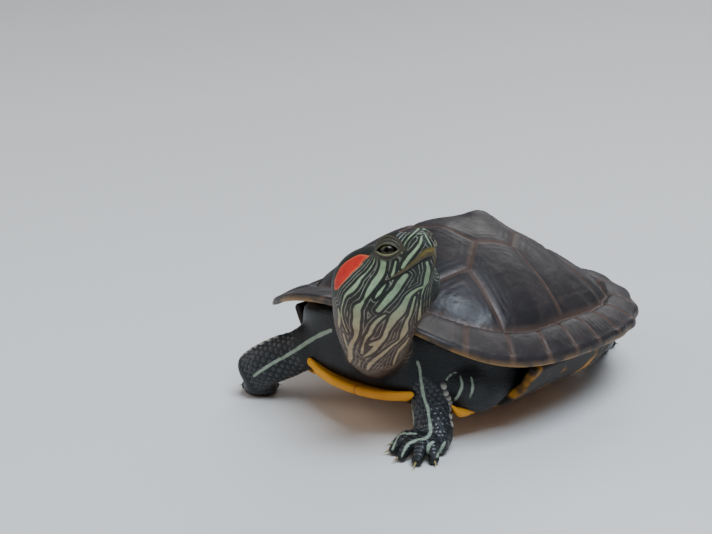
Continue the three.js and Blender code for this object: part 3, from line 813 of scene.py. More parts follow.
# Markings: each stop is x, y and width, in pixels of the camera's view.
headStripes = {
    "temple": [
        (383.1, 261.5, 6), (383, 265.5, 6.4), (380.7, 273.9, 6.8), (375.4, 281.6, 6.6), (370.7, 288.3, 5.4),
        (365.2, 297.8, 3), (361.8, 303.6, 4.2), (357.3, 309.3, 7.6), (357, 317, 7.4), (356.1, 324.6, 7.4),
        (356.6, 332.2, 5.2), (354.6, 339, 4.4), (351.3, 344.7, 5.2), (350, 352, 5.2), (350, 358, 4.4),
        (348, 364, 3.6),
    ],
    "ear": [
        (374.7, 258.6, 1.3), (372.8, 264.3, 1.4), (367.1, 272, 1.4), (360.4, 278.7, 2.2), (358, 282.5, 4),
        (354.6, 286.8, 4.8), (350, 291.1, 4.6), (345.6, 295, 2.8), (343.2, 301.6, 1.4), (341.3, 311.2, 1.2),
        (343, 321, 1.2), (347, 332, 1.2),
    ],
    "cheek": [(395.8, 261.5, 1.6), (394.3, 268.2, 2.2), (392, 276, 2.8)],
    "jaw": [
        (406.3, 275.3, 4.6), (400.6, 282.5, 6.6), (395.8, 290.2, 7), (390, 296.9, 7), (384.3, 303.6, 6.2),
        (378.6, 310.2, 5.6),
    ],
    "jawBehind": [(386.2, 283.5, 1.2), (380, 292.1, 2.8), (377.6, 295, 2.6), (375, 298.6, 1)],
    "chin": [
        (426.9, 262.4, 3), (428.3, 269.1, 4.2), (427.3, 275.8, 5.2), (426.6, 281.6, 4.8), (424.9, 285.9, 3),
    ],
    "throat": [
        (424.5, 286.3, 2.2), (418.7, 288.7, 2), (413, 292.1, 3.4), (408.2, 296.9, 4.8), (404.4, 304.5, 6.2),
        (400.6, 311.2, 8.4), (394.8, 316.9, 8.8), (391, 323.6, 7), (387.2, 330.3, 5), (384.8, 336.1, 4.8),
        (381.4, 340.9, 4.8), (374.7, 343.7, 4.4), (369.9, 344.7, 3),
    ],
    "throatFork": [
        (381, 341, 4.4), (378.6, 344.6, 4.6), (372.8, 350.4, 4.6), (368, 354.2, 3), (363.3, 356.6, 1.8),
    ],
    "gullet": [
        (424.5, 286.3, 2), (421.6, 295.9, 1.5), (420.6, 305.5, 1.6), (419.7, 313.1, 3), (419.7, 317.9, 4),
    ],
    "throatSide": [
        (414.9, 296.9, 1.6), (412.5, 306.4, 2.4), (410.1, 315, 2.4), (406.3, 322.7, 3.4), (405.3, 329.4, 6),
        (403.4, 334.2, 4.8), (400.6, 338.9, 2),
    ],
    "neckFront": [
        (400.6, 338.9, 1.6), (397.7, 341.8, 1.8), (391, 346.6, 2.4), (382.4, 354.2, 3), (374.7, 360, 3.8),
        (369.9, 364.8, 4.6), (367.1, 369.5, 3),
    ],
    "neckEdge": [
        (408.2, 338.9, 2.6), (404.4, 344.7, 3.8), (398.6, 351.4, 3), (394.8, 360, 2.6), (393.4, 364.8, 2),
    ],
    "neckSide": [
        (385.3, 315, 1.4), (378.6, 319.8, 3.6), (372.8, 326.5, 4.6), (369.9, 333.2, 4), (366.1, 338, 3),
        (363.3, 345.6, 2.4), (361.8, 353.3, 3.6),
    ],
    "nape": [(338.4, 309.3, 1.6), (339.3, 316.9, 3), (338.9, 325.5, 3)],
    "napeLow": [(343.5, 334, 1.6), (345.4, 341, 2.4), (347.5, 348, 1.6)],
    "snout": [
        (422.1, 234.1, 1.6), (421.5, 237.3, 2.2), (420.5, 242.1, 2.8), (418, 246.9, 3.6), (414.8, 251, 4),
        (411, 255.4, 4), (405.3, 262.9, 3.8), (402.3, 267.7, 3.2),
    ],
    "bridge": [
        (418, 228.9, 2.4), (414.1, 232.9, 1.9), (409.3, 237.3, 1.8), (405.5, 242.4, 1.6),
        (404.2, 245.3, 1.8), (402.3, 249.4, 2.8), (401.6, 252.5, 2.2),
    ],
    "bridgeLeft": [(423.1, 229.2, 1.6), (426.9, 229.8, 1.8), (430.1, 231.6, 1.8), (432.6, 233.6, 1.2)],
    "snoutLeft": [
        (424.7, 233.5, 1.3), (426.9, 238, 1.7), (429.4, 242.4, 1.8), (431.7, 246.2, 1.6),
        (433.3, 251.7, 1.4),
    ],
    "nostrilLine": [(417.3, 233.6, 1), (420, 233.2, 1.2), (422.1, 233.8, 1.2)],
}
redPatch = [
    (368.6, 256.4, 1.4), (363.8, 257.7, 4.6), (359, 259.7, 8.2), (354.6, 262.4, 11.4), (349, 266.6, 12),
    (344, 271.6, 11.6), (339.6, 278.2, 9.4), (336.6, 284, 6), (335, 288, 2),
]
legStripes = {
    "foreLeftMain": [
        (417.7, 362.4, 4), (419.8, 369.1, 3.8), (420.6, 377.4, 3.4), (421.9, 384.8, 3.8),
        (422.7, 391.5, 4.4), (425.2, 401.4, 3.4), (427.7, 408, 4.2), (428.9, 416.3, 3.4),
        (430.2, 424.6, 4.2), (430.6, 431.3, 3.8), (427.3, 437.1, 4), (419.8, 439.6, 3),
        (411.5, 442, 3.2), (406.5, 446.2, 3.6), (404, 451.2, 2.8), (401.6, 457, 2.4),
    ],
    "foreLeftInner": [(406.5, 393.1, 1.6), (410.7, 403.9, 2.6), (413.2, 414.7, 3), (414, 424.6, 2.4)],
    "foreLeftToe1": [(409, 429.6, 1.4), (399.9, 430.9, 1.8), (394.9, 434.6, 2), (391.6, 442.9, 1.8)],
    "foreLeftToe2": [
        (415.7, 433.8, 2.2), (409, 433.6, 2.6), (401, 434, 2.4), (396.6, 439.6, 2.4), (392.4, 449.5, 2.2),
    ],
    "foreLeftToe4": [(433.1, 442, 3), (428.9, 446.2, 4.4), (428.1, 452.8, 2.8), (427.3, 461, 2)],
    "foreLeftToe5": [(445, 442.4, 3), (442.6, 446.4, 3.4), (439.6, 452, 3), (437, 457, 2.6)],
    "shoulderA": [(457, 372, 2), (451, 374.6, 3), (446.6, 379.6, 2.4)],
    "shoulderB": [(460.3, 376.4, 2.6), (462.1, 385.7, 4), (458.8, 394.8, 3.6), (454.6, 399.8, 2.4)],
    "shoulderC": [(471.2, 377.2, 2), (472.8, 388, 2.8), (469.6, 398, 2)],
    "foreRightMain": [
        (331, 330.5, 4.6), (322, 334, 4.8), (310, 340.5, 4.6), (298, 348.5, 4.2), (286, 356, 4.2),
        (274, 362.5, 3.8), (262, 370, 3.8), (254, 376, 3),
    ],
}
farLegLines = {             # stripes out of view: angle round the limb, from, to and half width in mm
    "hind_left": [
        (15, 0.05, 1, 0.45), (75, 0, 1, 0.35), (125, 0.1, 1, 0.45), (200, 0, 1, 0.35), (-40, 0.1, 1, 0.4),
    ],
    "hind_right": [
        (160, 0.05, 1, 0.45), (100, 0, 1, 0.35), (45, 0.1, 1, 0.45), (-15, 0, 1, 0.35), (220, 0.1, 1, 0.4),
    ],
    "fore_left": [(150, 0, 0.9, 0.35), (200, 0, 1, 0.5), (250, 0, 1, 0.35)],
    "fore_right": [(130, 0, 1, 0.35), (200, 0, 1, 0.5), (260, 0, 1, 0.4)],
}
tailLines = {"angles": (0, 60, 120, 180, 270), "start": 0.2, "end": 1, "half": 0.22}
skinTree = BVHTree.FromPolygons(skinPoints.tolist(), skinQuads.tolist())
skinDepth = {"far": 460, "from": 355, "to": 400, "step": 1.5}       # mm from the camera


def onSkin(x, y):
    # Where a pixel's ray meets the skin, or else the nearest skin to the ray.
    ray = unit(pixelRay(x, y))
    hit = skinTree.ray_cast(Vector(camPlace), Vector(ray))[0]
    if hit is None or (hit - Vector(camPlace)).length > skinDepth["far"]:
        depths = np.arange(skinDepth["from"], skinDepth["to"], skinDepth["step"])
        tries = [skinTree.find_nearest(Vector(camPlace + ray * depth)) for depth in depths]
        hit = min(tries, key=lambda found: found[3])[0]
    return np.array(hit)


def smoothRoute(pixels, between=4):
    return smoothRows(pixels, (len(pixels) - 1) * between + 1)


def skinLine(pixels, slant=1.8):
    # A stripe on the skin: points in mm with the half width in mm as the fourth number. Where the
    # skin slants away from the camera, the stripe is wider than it looks, up to slant times.
    rows = smoothRoute(pixels)
    ahead = unit(np.gradient(rows[:, :2], axis=0))
    points = np.array([onSkin(x, y) for x, y, _ in rows])
    routeAhead = unit(np.gradient(points, axis=0))
    made = []
    for (x, y, width), (dx, dy), point, along in zip(rows, ahead, points, routeAhead):
        flat = width / 2 * ((camPlace - point) @ camBack) / camera["focal"]
        asideX, asideY = dy * width / 2, dx * width / 2
        across = onSkin(x - asideX, y + asideY) - onSkin(x + asideX, y - asideY)
        across = across - (across @ along) * along
        made.append([*point, np.clip(np.linalg.norm(across) / 2, flat * 0.9, flat * slant)])
    return np.array(made)


def unseen(point):
    # Whether something of the skin lies between the camera and the point.
    ray = point - camPlace
    far = np.linalg.norm(ray)
    hit = skinTree.ray_cast(Vector(camPlace), Vector(ray / far))[0]
    return hit is not None and (hit - Vector(camPlace)).length < far - 0.5


def unseenRuns(line):
    # The stretches of a line that the camera can't see.
    runs, run = [], []
    for point in line:
        if unseen(point[:3]):
            run.append(point)
        elif run:
            runs.append(run)
            run = []
    return [np.array(run) for run in [*runs, run] if len(run) > 1
            and np.linalg.norm(run[-1][:3] - run[0][:3]) > 3]


def laidOnSkin(points, halves):
    return np.array([[*skinTree.find_nearest(Vector(point))[0], half]
                     for point, half in zip(points, halves)])


def mirroredLine(line):
    across = fromHead(toHead(line[:, :3]) * [-1, 1, 1])
    return laidOnSkin(across, line[:, 3])


def limbLine(limb, angle, start, end, half):
    points = limb.surfaceLine(angle, start, end)
    return laidOnSkin(points, [half] * len(points))


def distanceToLines(points, lines, far=6.0):
    # Distance in mm to the edge of the nearest line, below 0 inside it.
    best = np.full(len(points), far, np.float32)
    for line in lines:
        for a, b in zip(line[:-1], line[1:]):
            low = np.minimum(a[:3], b[:3]) - far
            high = np.maximum(a[:3], b[:3]) + far
            near = np.flatnonzero(np.all((points > low) & (points < high), axis=1))
            step = b[:3] - a[:3]
            gap = points[near] - a[:3]
            t = np.clip(gap @ step / max(step @ step, 1e-9), 0, 1)
            away = np.linalg.norm(gap - t[:, None] * step, axis=1) - (a[3] + (b[3] - a[3]) * t)
            best[near] = np.minimum(best[near], away)
    return best


headLines = [skinLine(pixels) for pixels in headStripes.values()]
for line in list(headLines):
    headLines += unseenRuns(mirroredLine(line))
topLines = [                # on the head's top and nape: aside, back and half width, in the head's frame
    [(0, 9, 0.16), (0, 14, 0.2), (0.2, 20, 0.24), (0, 27, 0.3)],
    [(2.8, 10, 0.16), (3.4, 16, 0.3), (3.6, 22, 0.42), (3.2, 28, 0.4)],
    [(6.4, 15, 0.3), (6.6, 21, 0.5), (6.2, 27, 0.55)],
]


def topLine(line, side):
    made = []
    for aside, back, half in smoothRoute(line):
        down = Vector(fromHead([[side * aside, back, 14]])[0])
        hit = skinTree.ray_cast(down, Vector(headTurn @ [0, 0, -1]))[0]
        made.append([*hit, half])
    return np.array(made)


for line in topLines:
    for side in (-1, 1):
        headLines += unseenRuns(topLine(line, side))
napeLines = {"step": 24, "start": 0.12, "end": 0.86, "halves": (0.3, 0.55)}     # the neck's far side
for index, angle in enumerate(range(0, 360, napeLines["step"])):
    half = napeLines["halves"][index % 2]
    headLines += unseenRuns(limbLine(neckLimb, angle, napeLines["start"], napeLines["end"], half))
redLine = skinLine(redPatch, 2)
redLines = [redLine, mirroredLine(redLine)]
legLines = [skinLine(pixels) for pixels in legStripes.values()]
for legName, lines in farLegLines.items():
    for angle, start, end, half in lines:
        for length in ("upper", "lower"):
            legLines += unseenRuns(limbLine(legLimbs[legName][length], angle, start, end, half))
legLines += [limbLine(tailLimb, angle, tailLines["start"], tailLines["end"], tailLines["half"])
             for angle in tailLines["angles"]]
print("markings:", len(headLines), "lines on the head and neck,", len(legLines), "on the legs and tail")


def skinValues(points):
    # What the skin's colours read at each point.
    q = toHead(points)
    m = rightHalf(q)
    onHead = ease((30 - q[:, 1]) / 3) * (np.linalg.norm(q - [0, 14, 0], axis=1) < 24)
    neckNear = neckLimb.distance(points)
    # The head's markings cover the head and the neck; low on the neck, under about 20 mm, they fade into
    # plain dark skin: painted shade near the shell.
    linedAboveShade = np.maximum(onHead, ease((2.5 - neckNear) / 2.5) * ease((points[:, 2] - 15.5) / 5))
    stripe = distanceToLines(points, headLines)
    limb = distanceToLines(points, legLines)
    _, up, _, outside, far = lidPlace(m)
    lid = np.where(far < 6, outside, 6)
    low = ease(-up / 0.8)
    mouth = mouthPlace(q)
    corner = mouthTable[-1, 0]
    height = np.interp(q[:, 1], [*headShape["hornBack"], corner], headShape["hornHeight"])
    beak = np.maximum(mouth - height, 0.05 - mouth)
    beak = np.where(onHead > 0.5, np.maximum(beak, q[:, 1] - corner - 0.3), 6)
    nostril = np.linalg.norm(m - np.array(headShape["nostril"][0]) * headScale, axis=1)
    warmth = ease((45 - points[:, 2]) / 13) * ease((4 - neckNear) / 3)
    return {
        "stripe": np.where(linedAboveShade > 0.3, stripe, 6),
        "limbStripe": limb,
        "red": np.where(linedAboveShade > 0.3, distanceToLines(points, redLines), 6),
        "linedAboveShade": linedAboveShade,
        "warmth": warmth,
        "lid": lid,
        "lidLow": low,
        "beak": np.clip(beak, -6, 6),
        # distance to the mouth's line, along which the material paints the groove black as shade
        "mouth": np.where((onHead > 0.5) & (q[:, 1] < corner), np.minimum(np.abs(mouth + 0.12), 6), 6),
        "nostril": np.minimum(nostril, 6),
    }


def storeValues(made, values):
    # Numbers for each vertex, which the materials read by name.
    for name, numbers in values.items():
        layer = made.data.attributes.new(name, "FLOAT", "POINT")
        layer.data.foreach_set("value", np.asarray(numbers, np.float32))


def vertexPlaces(data):
    # A mesh's vertices in the shape frame, in mm.
    flat = np.empty(len(data.vertices) * 3, np.float32)
    data.vertices.foreach_get("co", flat)
    return flat.reshape(-1, 3).astype(float) * 1000 - shift


def applied(made):
    # The object with its modifiers applied, as a plain mesh.
    bpy.context.view_layer.update()
    data = bpy.data.meshes.new_from_object(made.evaluated_get(bpy.context.evaluated_depsgraph_get()))
    made.modifiers.clear()
    made.data = data
    return made


fineSkin = {                # mm round the eyes, the mouth's line and the tip, where the faces are smaller
    "eye": 4.9,
    "mouth": 0.9,
    "tip": 2.6,
    "tipMiddle": [0.6, 0.6, 1],
}
hiddenSkin = {              # what the shells hide: parts of the radius, and mm in the shell's frame
    "inside": 0.78,
    "bottom": -12.4,
    "top": 21,
    "insideBridges": 0.9,
    "bridges": 15,
    "ceiling": 50,          # mm above the floor
    "drop": 0.95,           # the part of its points that goes
}


def fineDetail(places):
    q = toHead(places)
    m = rightHalf(q)
    nearEye = np.linalg.norm(m - eye["place"], axis=1) < fineSkin["eye"]
    nearMouth = np.abs(mouthPlace(q)) < fineSkin["mouth"]
    nearMouth &= (q[:, 1] < mouthTable[-1, 0] + 1) & (q[:, 1] > -3)
    nearTip = np.linalg.norm(m - fineSkin["tipMiddle"], axis=1) < fineSkin["tip"]
    return nearEye | nearMouth | nearTip


def refine(made):
    # Splits the chosen faces in four and lays them on the fields again.
    net = bmesh.new()
    net.from_mesh(made.data)
    net.verts.ensure_lookup_table()
    chosen = set(np.flatnonzero(fineDetail(vertexPlaces(made.data))).tolist())
    edges = [edge for edge in net.edges if edge.verts[0].index in chosen and edge.verts[1].index in chosen]
    bmesh.ops.subdivide_edges(net, edges=edges, cuts=1, use_grid_fill=True)
    net.to_mesh(made.data)
    net.free()
    places = vertexPlaces(made.data)
    moved = np.flatnonzero(fineDetail(places))
    places[moved] = fitToField(bodyFields, places[moved], 3, 0.15)
    made.data.vertices.foreach_set("co", inScene(places).astype(np.float32).ravel())
    made.data.update()


def makeSkin():
    made = meshObject("skin", skinPoints, skinQuads)
    q = toShell(skinPoints)
    part, _, _ = shellPlace(q[:, 0], q[:, 1])
    hidden = (part < hiddenSkin["inside"]) & (q[:, 2] > hiddenSkin["bottom"])
    hidden &= q[:, 2] < hiddenSkin["top"]
    hidden |= (part < hiddenSkin["insideBridges"]) & (np.abs(q[:, 1]) < hiddenSkin["bridges"])
    hidden = np.flatnonzero(hidden & (skinPoints[:, 2] < hiddenSkin["ceiling"]))
    group = made.vertex_groups.new(name="hidden")
    group.add(hidden.tolist(), 1, "REPLACE")
    thin = made.modifiers.new("thin", "DECIMATE")       # what the shells hide needs few faces
    thin.vertex_group = "hidden"
    thin.ratio = 1 - hiddenSkin["drop"] * len(hidden) / len(skinPoints)
    applied(made)
    made.vertex_groups.clear()
    refine(made)
    made.data.polygons.foreach_set("use_smooth", np.ones(len(made.data.polygons), bool))
    storeValues(made, skinValues(vertexPlaces(made.data)))
    triangles = sum(len(face.vertices) - 2 for face in made.data.polygons)
    print("skin:", triangles, "triangles")
    return made


skin = makeSkin()


carapaceShape = {
    "columns": 230,         # of the net that covers the dome, each way
    "edge": 0.985,          # where the top turns into the rim's edge
    "seamDepth": 0.3,
    "seamWidth": 0.3,
    "scuteRise": 0.4,       # each scute is a little domed
    "ringStep": 1.5,        # between growth rings
    "ringDepth": 0.05,
    "marginals": 25,
    # the rim's edge and the underside, as parts of the radius, and the sink of each as a part of the wall
    "edgeRings": [(0.994, 0.12), (1, 0.5), (0.997, 0.85), (0.985, 1)],
    "underRings": (0.965, 0.94, 0.91, 0.88, 0.85, 0.82, 0.78, 0.72, 0.6, 0.45, 0.3, 0.15),
    # seams of the right half in plan, aside and back from the middle
    "seams": [
        [(7.5, -47), (9, -40), (10.5, -35), (10, -27), (14.5, -18.5), (10, -9), (15, 0.5), (9.5, 10.5),
         (14, 20), (7.5, 29), (18, 47)],
        [(0, -27.3), (10, -27)],
        [(0, -9), (10, -9)],
        [(0, 10.8), (9.5, 10.5)],
        [(0, 29.4), (7.5, 29)],
        [(14.5, -18.5), (24, -21.5), (37, -25)],
        [(15, 0.5), (26, 0), (40, -2)],
        [(14, 20), (24, 21.5), (38, 23.5)],
    ],
}


farFromSeam = 9.0           # mm, for points that no seam is near


def routeDistance(x, y, route, best):
    # The distance in a plane to a route of straight steps, where it is less than best.
    for a, b in zip(route[:-1], route[1:]):
        step = b - a
        t = np.clip(((x - a[0]) * step[0] + (y - a[1]) * step[1]) / (step @ step), 0, 1)
        best = np.minimum(best, np.hypot(x - a[0] - t * step[0], y - a[1] - t * step[1]))
    return best


def marginTurns():
    # Where the seams between the marginal scutes meet the rim.
    count = carapaceShape["marginals"]
    return (np.arange(count) + 0.5) * 2 * math.pi / count


def seamDistance(x, y, part, turn, limit):
    best = np.full(len(x), farFromSeam)
    for line in carapaceShape["seams"]:
        best = routeDistance(np.abs(x), y, np.array(line, float), best)
    start = roundShell("marginStart", turn)
    groove = np.abs(part - start) * limit
    inside = np.minimum(best, groove)
    turns = marginTurns()
    apart = np.abs((turn[:, None] - turns[None, :] + math.pi) % (2 * math.pi) - math.pi).min(1)
    margin = np.minimum(apart * limit * part * 0.98, groove)
    return np.where(part < start, inside, margin)


def makeCarapace():
    # A square net pulled out to the rim, then rings round the edge and in along the underside.
    shape = carapaceShape
    n = shape["columns"]
    a, b = np.meshgrid(np.linspace(-1, 1, n + 1), np.linspace(-1, 1, n + 1), indexing="ij")
    a, b = a.ravel(), b.ravel()
    part = np.maximum(np.abs(a), np.abs(b)) * shape["edge"]
    steepA = np.abs(a) >= np.abs(b)
    safeA = np.where(np.abs(a) < 1e-9, 1e-9, a)
    safeB = np.where(np.abs(b) < 1e-9, 1e-9, b)
    turn = np.where(steepA, math.pi / 4 * b / safeA + np.where(a < 0, math.pi, 0),
                    math.pi / 2 - math.pi / 4 * a / safeB + np.where(b < 0, math.pi, 0))
    turn = np.where((np.abs(a) < 1e-9) & (np.abs(b) < 1e-9), 0, turn)
    top = shellPoint(part, turn)
    limit = shellPlace(top[:, 0], top[:, 1])[2]
    seam = seamDistance(top[:, 0], top[:, 1], part, turn, limit)
    fade = ease((shape["edge"] - part) / 0.03)
    growth = ease((seam - 0.7) / 0.6) * ease((6 - seam) / 3)       # rings lie off the seams
    top[:, 2] += fade * (shape["scuteRise"] * (1 - np.exp(-seam / 1.8)) - shape["scuteRise"]
                         - shape["seamDepth"] * np.exp(-((seam / shape["seamWidth"]) ** 2))
                         + shape["ringDepth"] * growth * np.cos(seam * 2 * math.pi / shape["ringStep"]))
    order = np.arange((n + 1) ** 2).reshape(n + 1, n + 1)
    quads = np.stack([order[:-1, :-1], order[1:, :-1], order[1:, 1:], order[:-1, 1:]], -1).reshape(-1, 4)
    border = np.concatenate([order[:-1, 0], order[-1, :-1], order[:0:-1, -1], order[0, :0:-1]])
    turns = turn[border]
    wall, rimWall = shell["wall"], shell["rimWall"]
    rings = [(place, sink * rimWall) for place, sink in shape["edgeRings"]]
    rings += [(place, rimWall + (wall - rimWall) * ease((0.98 - place) / 0.2))
              for place in shape["underRings"]]
    points, seams, under = [top], [seam], [np.zeros(len(top))]
    previous = border
    faces = [quads]
    total = len(top)
    for place, sink in rings:
        ring = shellPoint(np.full(len(turns), place), turns, sink)
        x, y = ring[:, 0], ring[:, 1]
        points.append(ring)
        seams.append(seamDistance(x, y, np.full(len(turns), place), turns, shellPlace(x, y)[2]))
        under.append(np.full(len(turns), float(ease((sink / rimWall - 0.35) / 0.4))))
        here = total + np.arange(len(turns))
        total += len(turns)
        faces.append(np.stack([previous, here, np.roll(here, -1), np.roll(previous, -1)], 1))
        previous = here
    points.append(shellPoint(np.zeros(1), np.zeros(1), wall + 1))
    seams.append(np.full(1, farFromSeam))
    under.append(np.ones(1))
    faces = [face for block in faces for face in block.tolist()]
    faces += [[int(i), total, int(j)] for i, j in zip(previous, np.roll(previous, -1))]
    made = meshObject("carapace_shell", fromShell(np.vstack(points)), faces)
    pointOut(made)
    storeValues(made, {"seam": np.concatenate(seams), "under": np.concatenate(under)})
    return made


def pointOut(made):
    # Turns the faces outwards.
    net = bmesh.new()
    net.from_mesh(made.data)
    bmesh.ops.recalc_face_normals(net, faces=net.faces)
    net.to_mesh(made.data)
    net.free()


carapace = makeCarapace()
print("carapace:", len(carapace.data.polygons), "faces")

plastronShape = {
    "drop": 14.6,
    "wall": 2.4,
    # back, half width, rise above the plate's level
    "stops": [
        [-43.5, 8, 2.6], [-41.5, 14, 2.2], [-37.5, 21, 1.4], [-33, 25.3, 0.5], [-27, 25.3, 0],
        [-18, 24.5, 0], [0, 25, 0], [16, 23.5, 0], [25, 21.5, 0], [34, 18, 0.2], [40, 13.5, 0.5],
        [43.5, 8.5, 0.8],
    ],
    "frontLine": -33,       # ahead of this the sides rise more than the middle
    "sideRise": 2.6,
    "bridge": [[20, 0], [27, 1], [33, 5.4], [36.3, 11]],        # aside, up from the plate's level
    "bridgeMiddle": -2.5,
    "bridgeHalf": 19,
    "bridgeWall": 1.25,     # half the thickness
    # back at the middle, and slant
    "seams": [(-31.5, 0.08), (-19, 0.02), (-2, 0), (14, -0.02), (28, -0.1)],
    "seamDepth": 0.22,
    "seamWidth": 0.35,
    "plateGap": 0.9,        # kept free round the legs
    "bridgeGap": 0.3,
}
plateMiddle = -plastronShape["drop"] + plastronShape["wall"] / 2


def plastronSeam(q):
    aside = np.abs(q[:, 0])
    best = aside
    for back, slant in plastronShape["seams"]:
        best = np.minimum(best, np.abs(q[:, 1] - back - slant * aside))
    return best


class Plate:
    blend = 2.5
    low = np.array([-30, -48, plateMiddle - 4])
    high = np.array([30, 48, plateMiddle + 9])

    def distance(self, q):
        stops = np.array(plastronShape["stops"])
        wide, rise = stationSizes(stops, q[:, 1])
        deep = plastronShape["wall"] / 2
        front = ease((plastronShape["frontLine"] - q[:, 1]) / 7)
        up = q[:, 2] - plateMiddle - rise - front * plastronShape["sideRise"] * (q[:, 0] / 16) ** 2
        side = np.abs(q[:, 0]) - wide
        end = np.maximum(stops[0, 0] - q[:, 1], q[:, 1] - stops[-1, 0])
        field = smoothMax(smoothMax(side, end, 2), np.abs(up) - deep, 1.6)
        seam = plastronShape["seamDepth"] * np.exp(-((plastronSeam(q) / plastronShape["seamWidth"]) ** 2))
        return field + seam * (up < 0)


class Carved:
    # A part without what comes too near the legs.
    def __init__(self, part, gap):
        self.part, self.gap = part, gap
        self.low, self.high, self.blend = part.low, part.high, part.blend

    def distance(self, q):
        field = self.part.distance(q)
        places = fromShell(q)
        for limbs in legLimbs.values():
            for limb in (limbs["upper"], limbs["lower"], limbs["sole"]):
                near = np.flatnonzero(np.all((places > limb.low) & (places < limb.high), axis=1))
                if len(near):
                    away = self.gap - limb.distance(places[near])
                    field[near] = smoothMax(field[near], away, 1)
        return field


class Bridge:
    # The wall that curves up from the plate's side to the carapace.
    blend = 2.5

    def __init__(self, side):
        self.side = side
        self.route = smoothRows(plastronShape["bridge"], 16) + [0, plateMiddle]
        middle, half = plastronShape["bridgeMiddle"], plastronShape["bridgeHalf"]
        self.low = np.array([min(side * 15, side * 43), middle - half - 4, plateMiddle - 5])
        self.high = np.array([max(side * 15, side * 43), middle + half + 4, plateMiddle + 16])

    def distance(self, q):
        aside, up = self.side * q[:, 0], q[:, 2]
        best = routeDistance(aside, up, self.route, np.full(len(q), 50.0))
        ends = np.abs(q[:, 1] - plastronShape["bridgeMiddle"]) - plastronShape["bridgeHalf"]
        return smoothMax(best - plastronShape["bridgeWall"], ends, 1)


def makePlastron():
    parts = [Carved(Plate(), plastronShape["plateGap"])]
    parts += [Carved(Bridge(side), plastronShape["bridgeGap"]) for side in (-1, 1)]
    axes = [gridAxis(-42, (42, 0.45)), gridAxis(-48, (48, 0.45)), gridAxis(plateMiddle - 3.5, (2, 0.3))]
    q, quads = surfaceOf(parts, axes)
    made = meshObject("plastron_plate", fromShell(q), quads)
    seam = np.minimum(plastronSeam(q), farFromSeam)
    storeValues(made, {"seam": seam, "aside": q[:, 0], "back": q[:, 1]})
    return made


plastron = makePlastron()
print("plastron:", len(plastron.data.polygons), "faces")


eyeShape = {
    "around": 48,
    "rings": 36,
    "fit": 0.995,           # of the socket's radius
    "bulge": 0.05,          # the clear front stands out by this part of the radius
    "bulgeWidth": 0.5,
    "pupil": 0.62,          # half widths in mm
    "iris": 1.35,
    "backHalf": 3,          # mm from the axis that the back half counts as
}


def makeEye(side):
    gaze, along = eyeGaze * [side, 1, 1], slitAlong * [side, 1, 1]
    up = slitUp * [side, 1, 1]
    radius = eye["radius"] * eyeShape["fit"]
    lean = np.linspace(0, math.pi, eyeShape["rings"] + 1)[1:-1]
    turns = np.linspace(0, 2 * math.pi, eyeShape["around"], endpoint=False)
    bulge = 1 + eyeShape["bulge"] * np.exp(-((lean / eyeShape["bulgeWidth"]) ** 2))
    net = [gaze * radius * (1 + eyeShape["bulge"])]
    for angle, swell in zip(lean, bulge):
        circle = np.cos(turns)[:, None] * along + np.sin(turns)[:, None] * up
        ring = np.cos(angle) * gaze + np.sin(angle) * circle
        net += list(ring * radius * swell)
    net.append(-gaze * radius)
    n, rings = eyeShape["around"], len(lean)
    faces = [[0, 1 + (i + 1) % n, 1 + i] for i in range(n)]
    for ring in range(rings - 1):
        for i in range(n):
            a, b = 1 + ring * n + i, 1 + ring * n + (i + 1) % n
            faces.append([a, b, b + n, a + n])
    last = 1 + rings * n
    faces += [[last, last - n + i, last - n + (i + 1) % n] for i in range(n)]
    local = np.array(net)
    place = eye["place"] * [side, 1, 1]
    made = meshObject("eyeball_left" if side > 0 else "eyeball_right", fromHead(local + place), faces)
    pointOut(made)
    ahead = local @ gaze
    away = np.linalg.norm(local - ahead[:, None] * gaze, axis=1)
    storeValues(made, {"fromAxis": np.where(ahead > 0, away, eyeShape["backHalf"]), "above": local @ up})
    return made


eyes = [makeEye(side) for side in (-1, 1)]
print("eyes made")


def newTree(name, *inputs):
    tree = bpy.data.node_groups.new(name, "GeometryNodeTree")
    tree.interface.new_socket("Geometry", in_out="INPUT", socket_type="NodeSocketGeometry")
    for label, kind in inputs:
        tree.interface.new_socket(label, in_out="INPUT", socket_type=kind)
    tree.interface.new_socket("Geometry", in_out="OUTPUT", socket_type="NodeSocketGeometry")
    return tree, tree.nodes.new("NodeGroupInput"), tree.nodes.new("NodeGroupOutput")


def put(tree, kind, settings=None, sockets=None):
    # A node with its settings, and its sockets set or linked by name or number.
    made = tree.nodes.new(kind)
    for name, value in (settings or {}).items():
        setattr(made, name, value)
    for name, value in (sockets or {}).items():
        if isinstance(value, bpy.types.NodeSocket):
            tree.links.new(value, made.inputs[name])
        else:
            made.inputs[name].default_value = value
    return made


def calc(tree, operation, *values):
    return put(tree, "ShaderNodeMath", {"operation": operation}, dict(enumerate(values))).outputs[0]


def ramp(tree, value, start, end, low=0.0, high=1.0):
    node = put(tree, "ShaderNodeMapRange", {"interpolation_type": "SMOOTHSTEP"},
               {"Value": value, "From Min": start, "From Max": end, "To Min": low, "To Max": high})
    return node.outputs[0]


def setInputs(modifier, tree, values):
    for item in tree.interface.items_tree:
        if item.item_type == "SOCKET" and item.in_out == "INPUT" and item.name in values:
            modifier[item.identifier] = values[item.name]


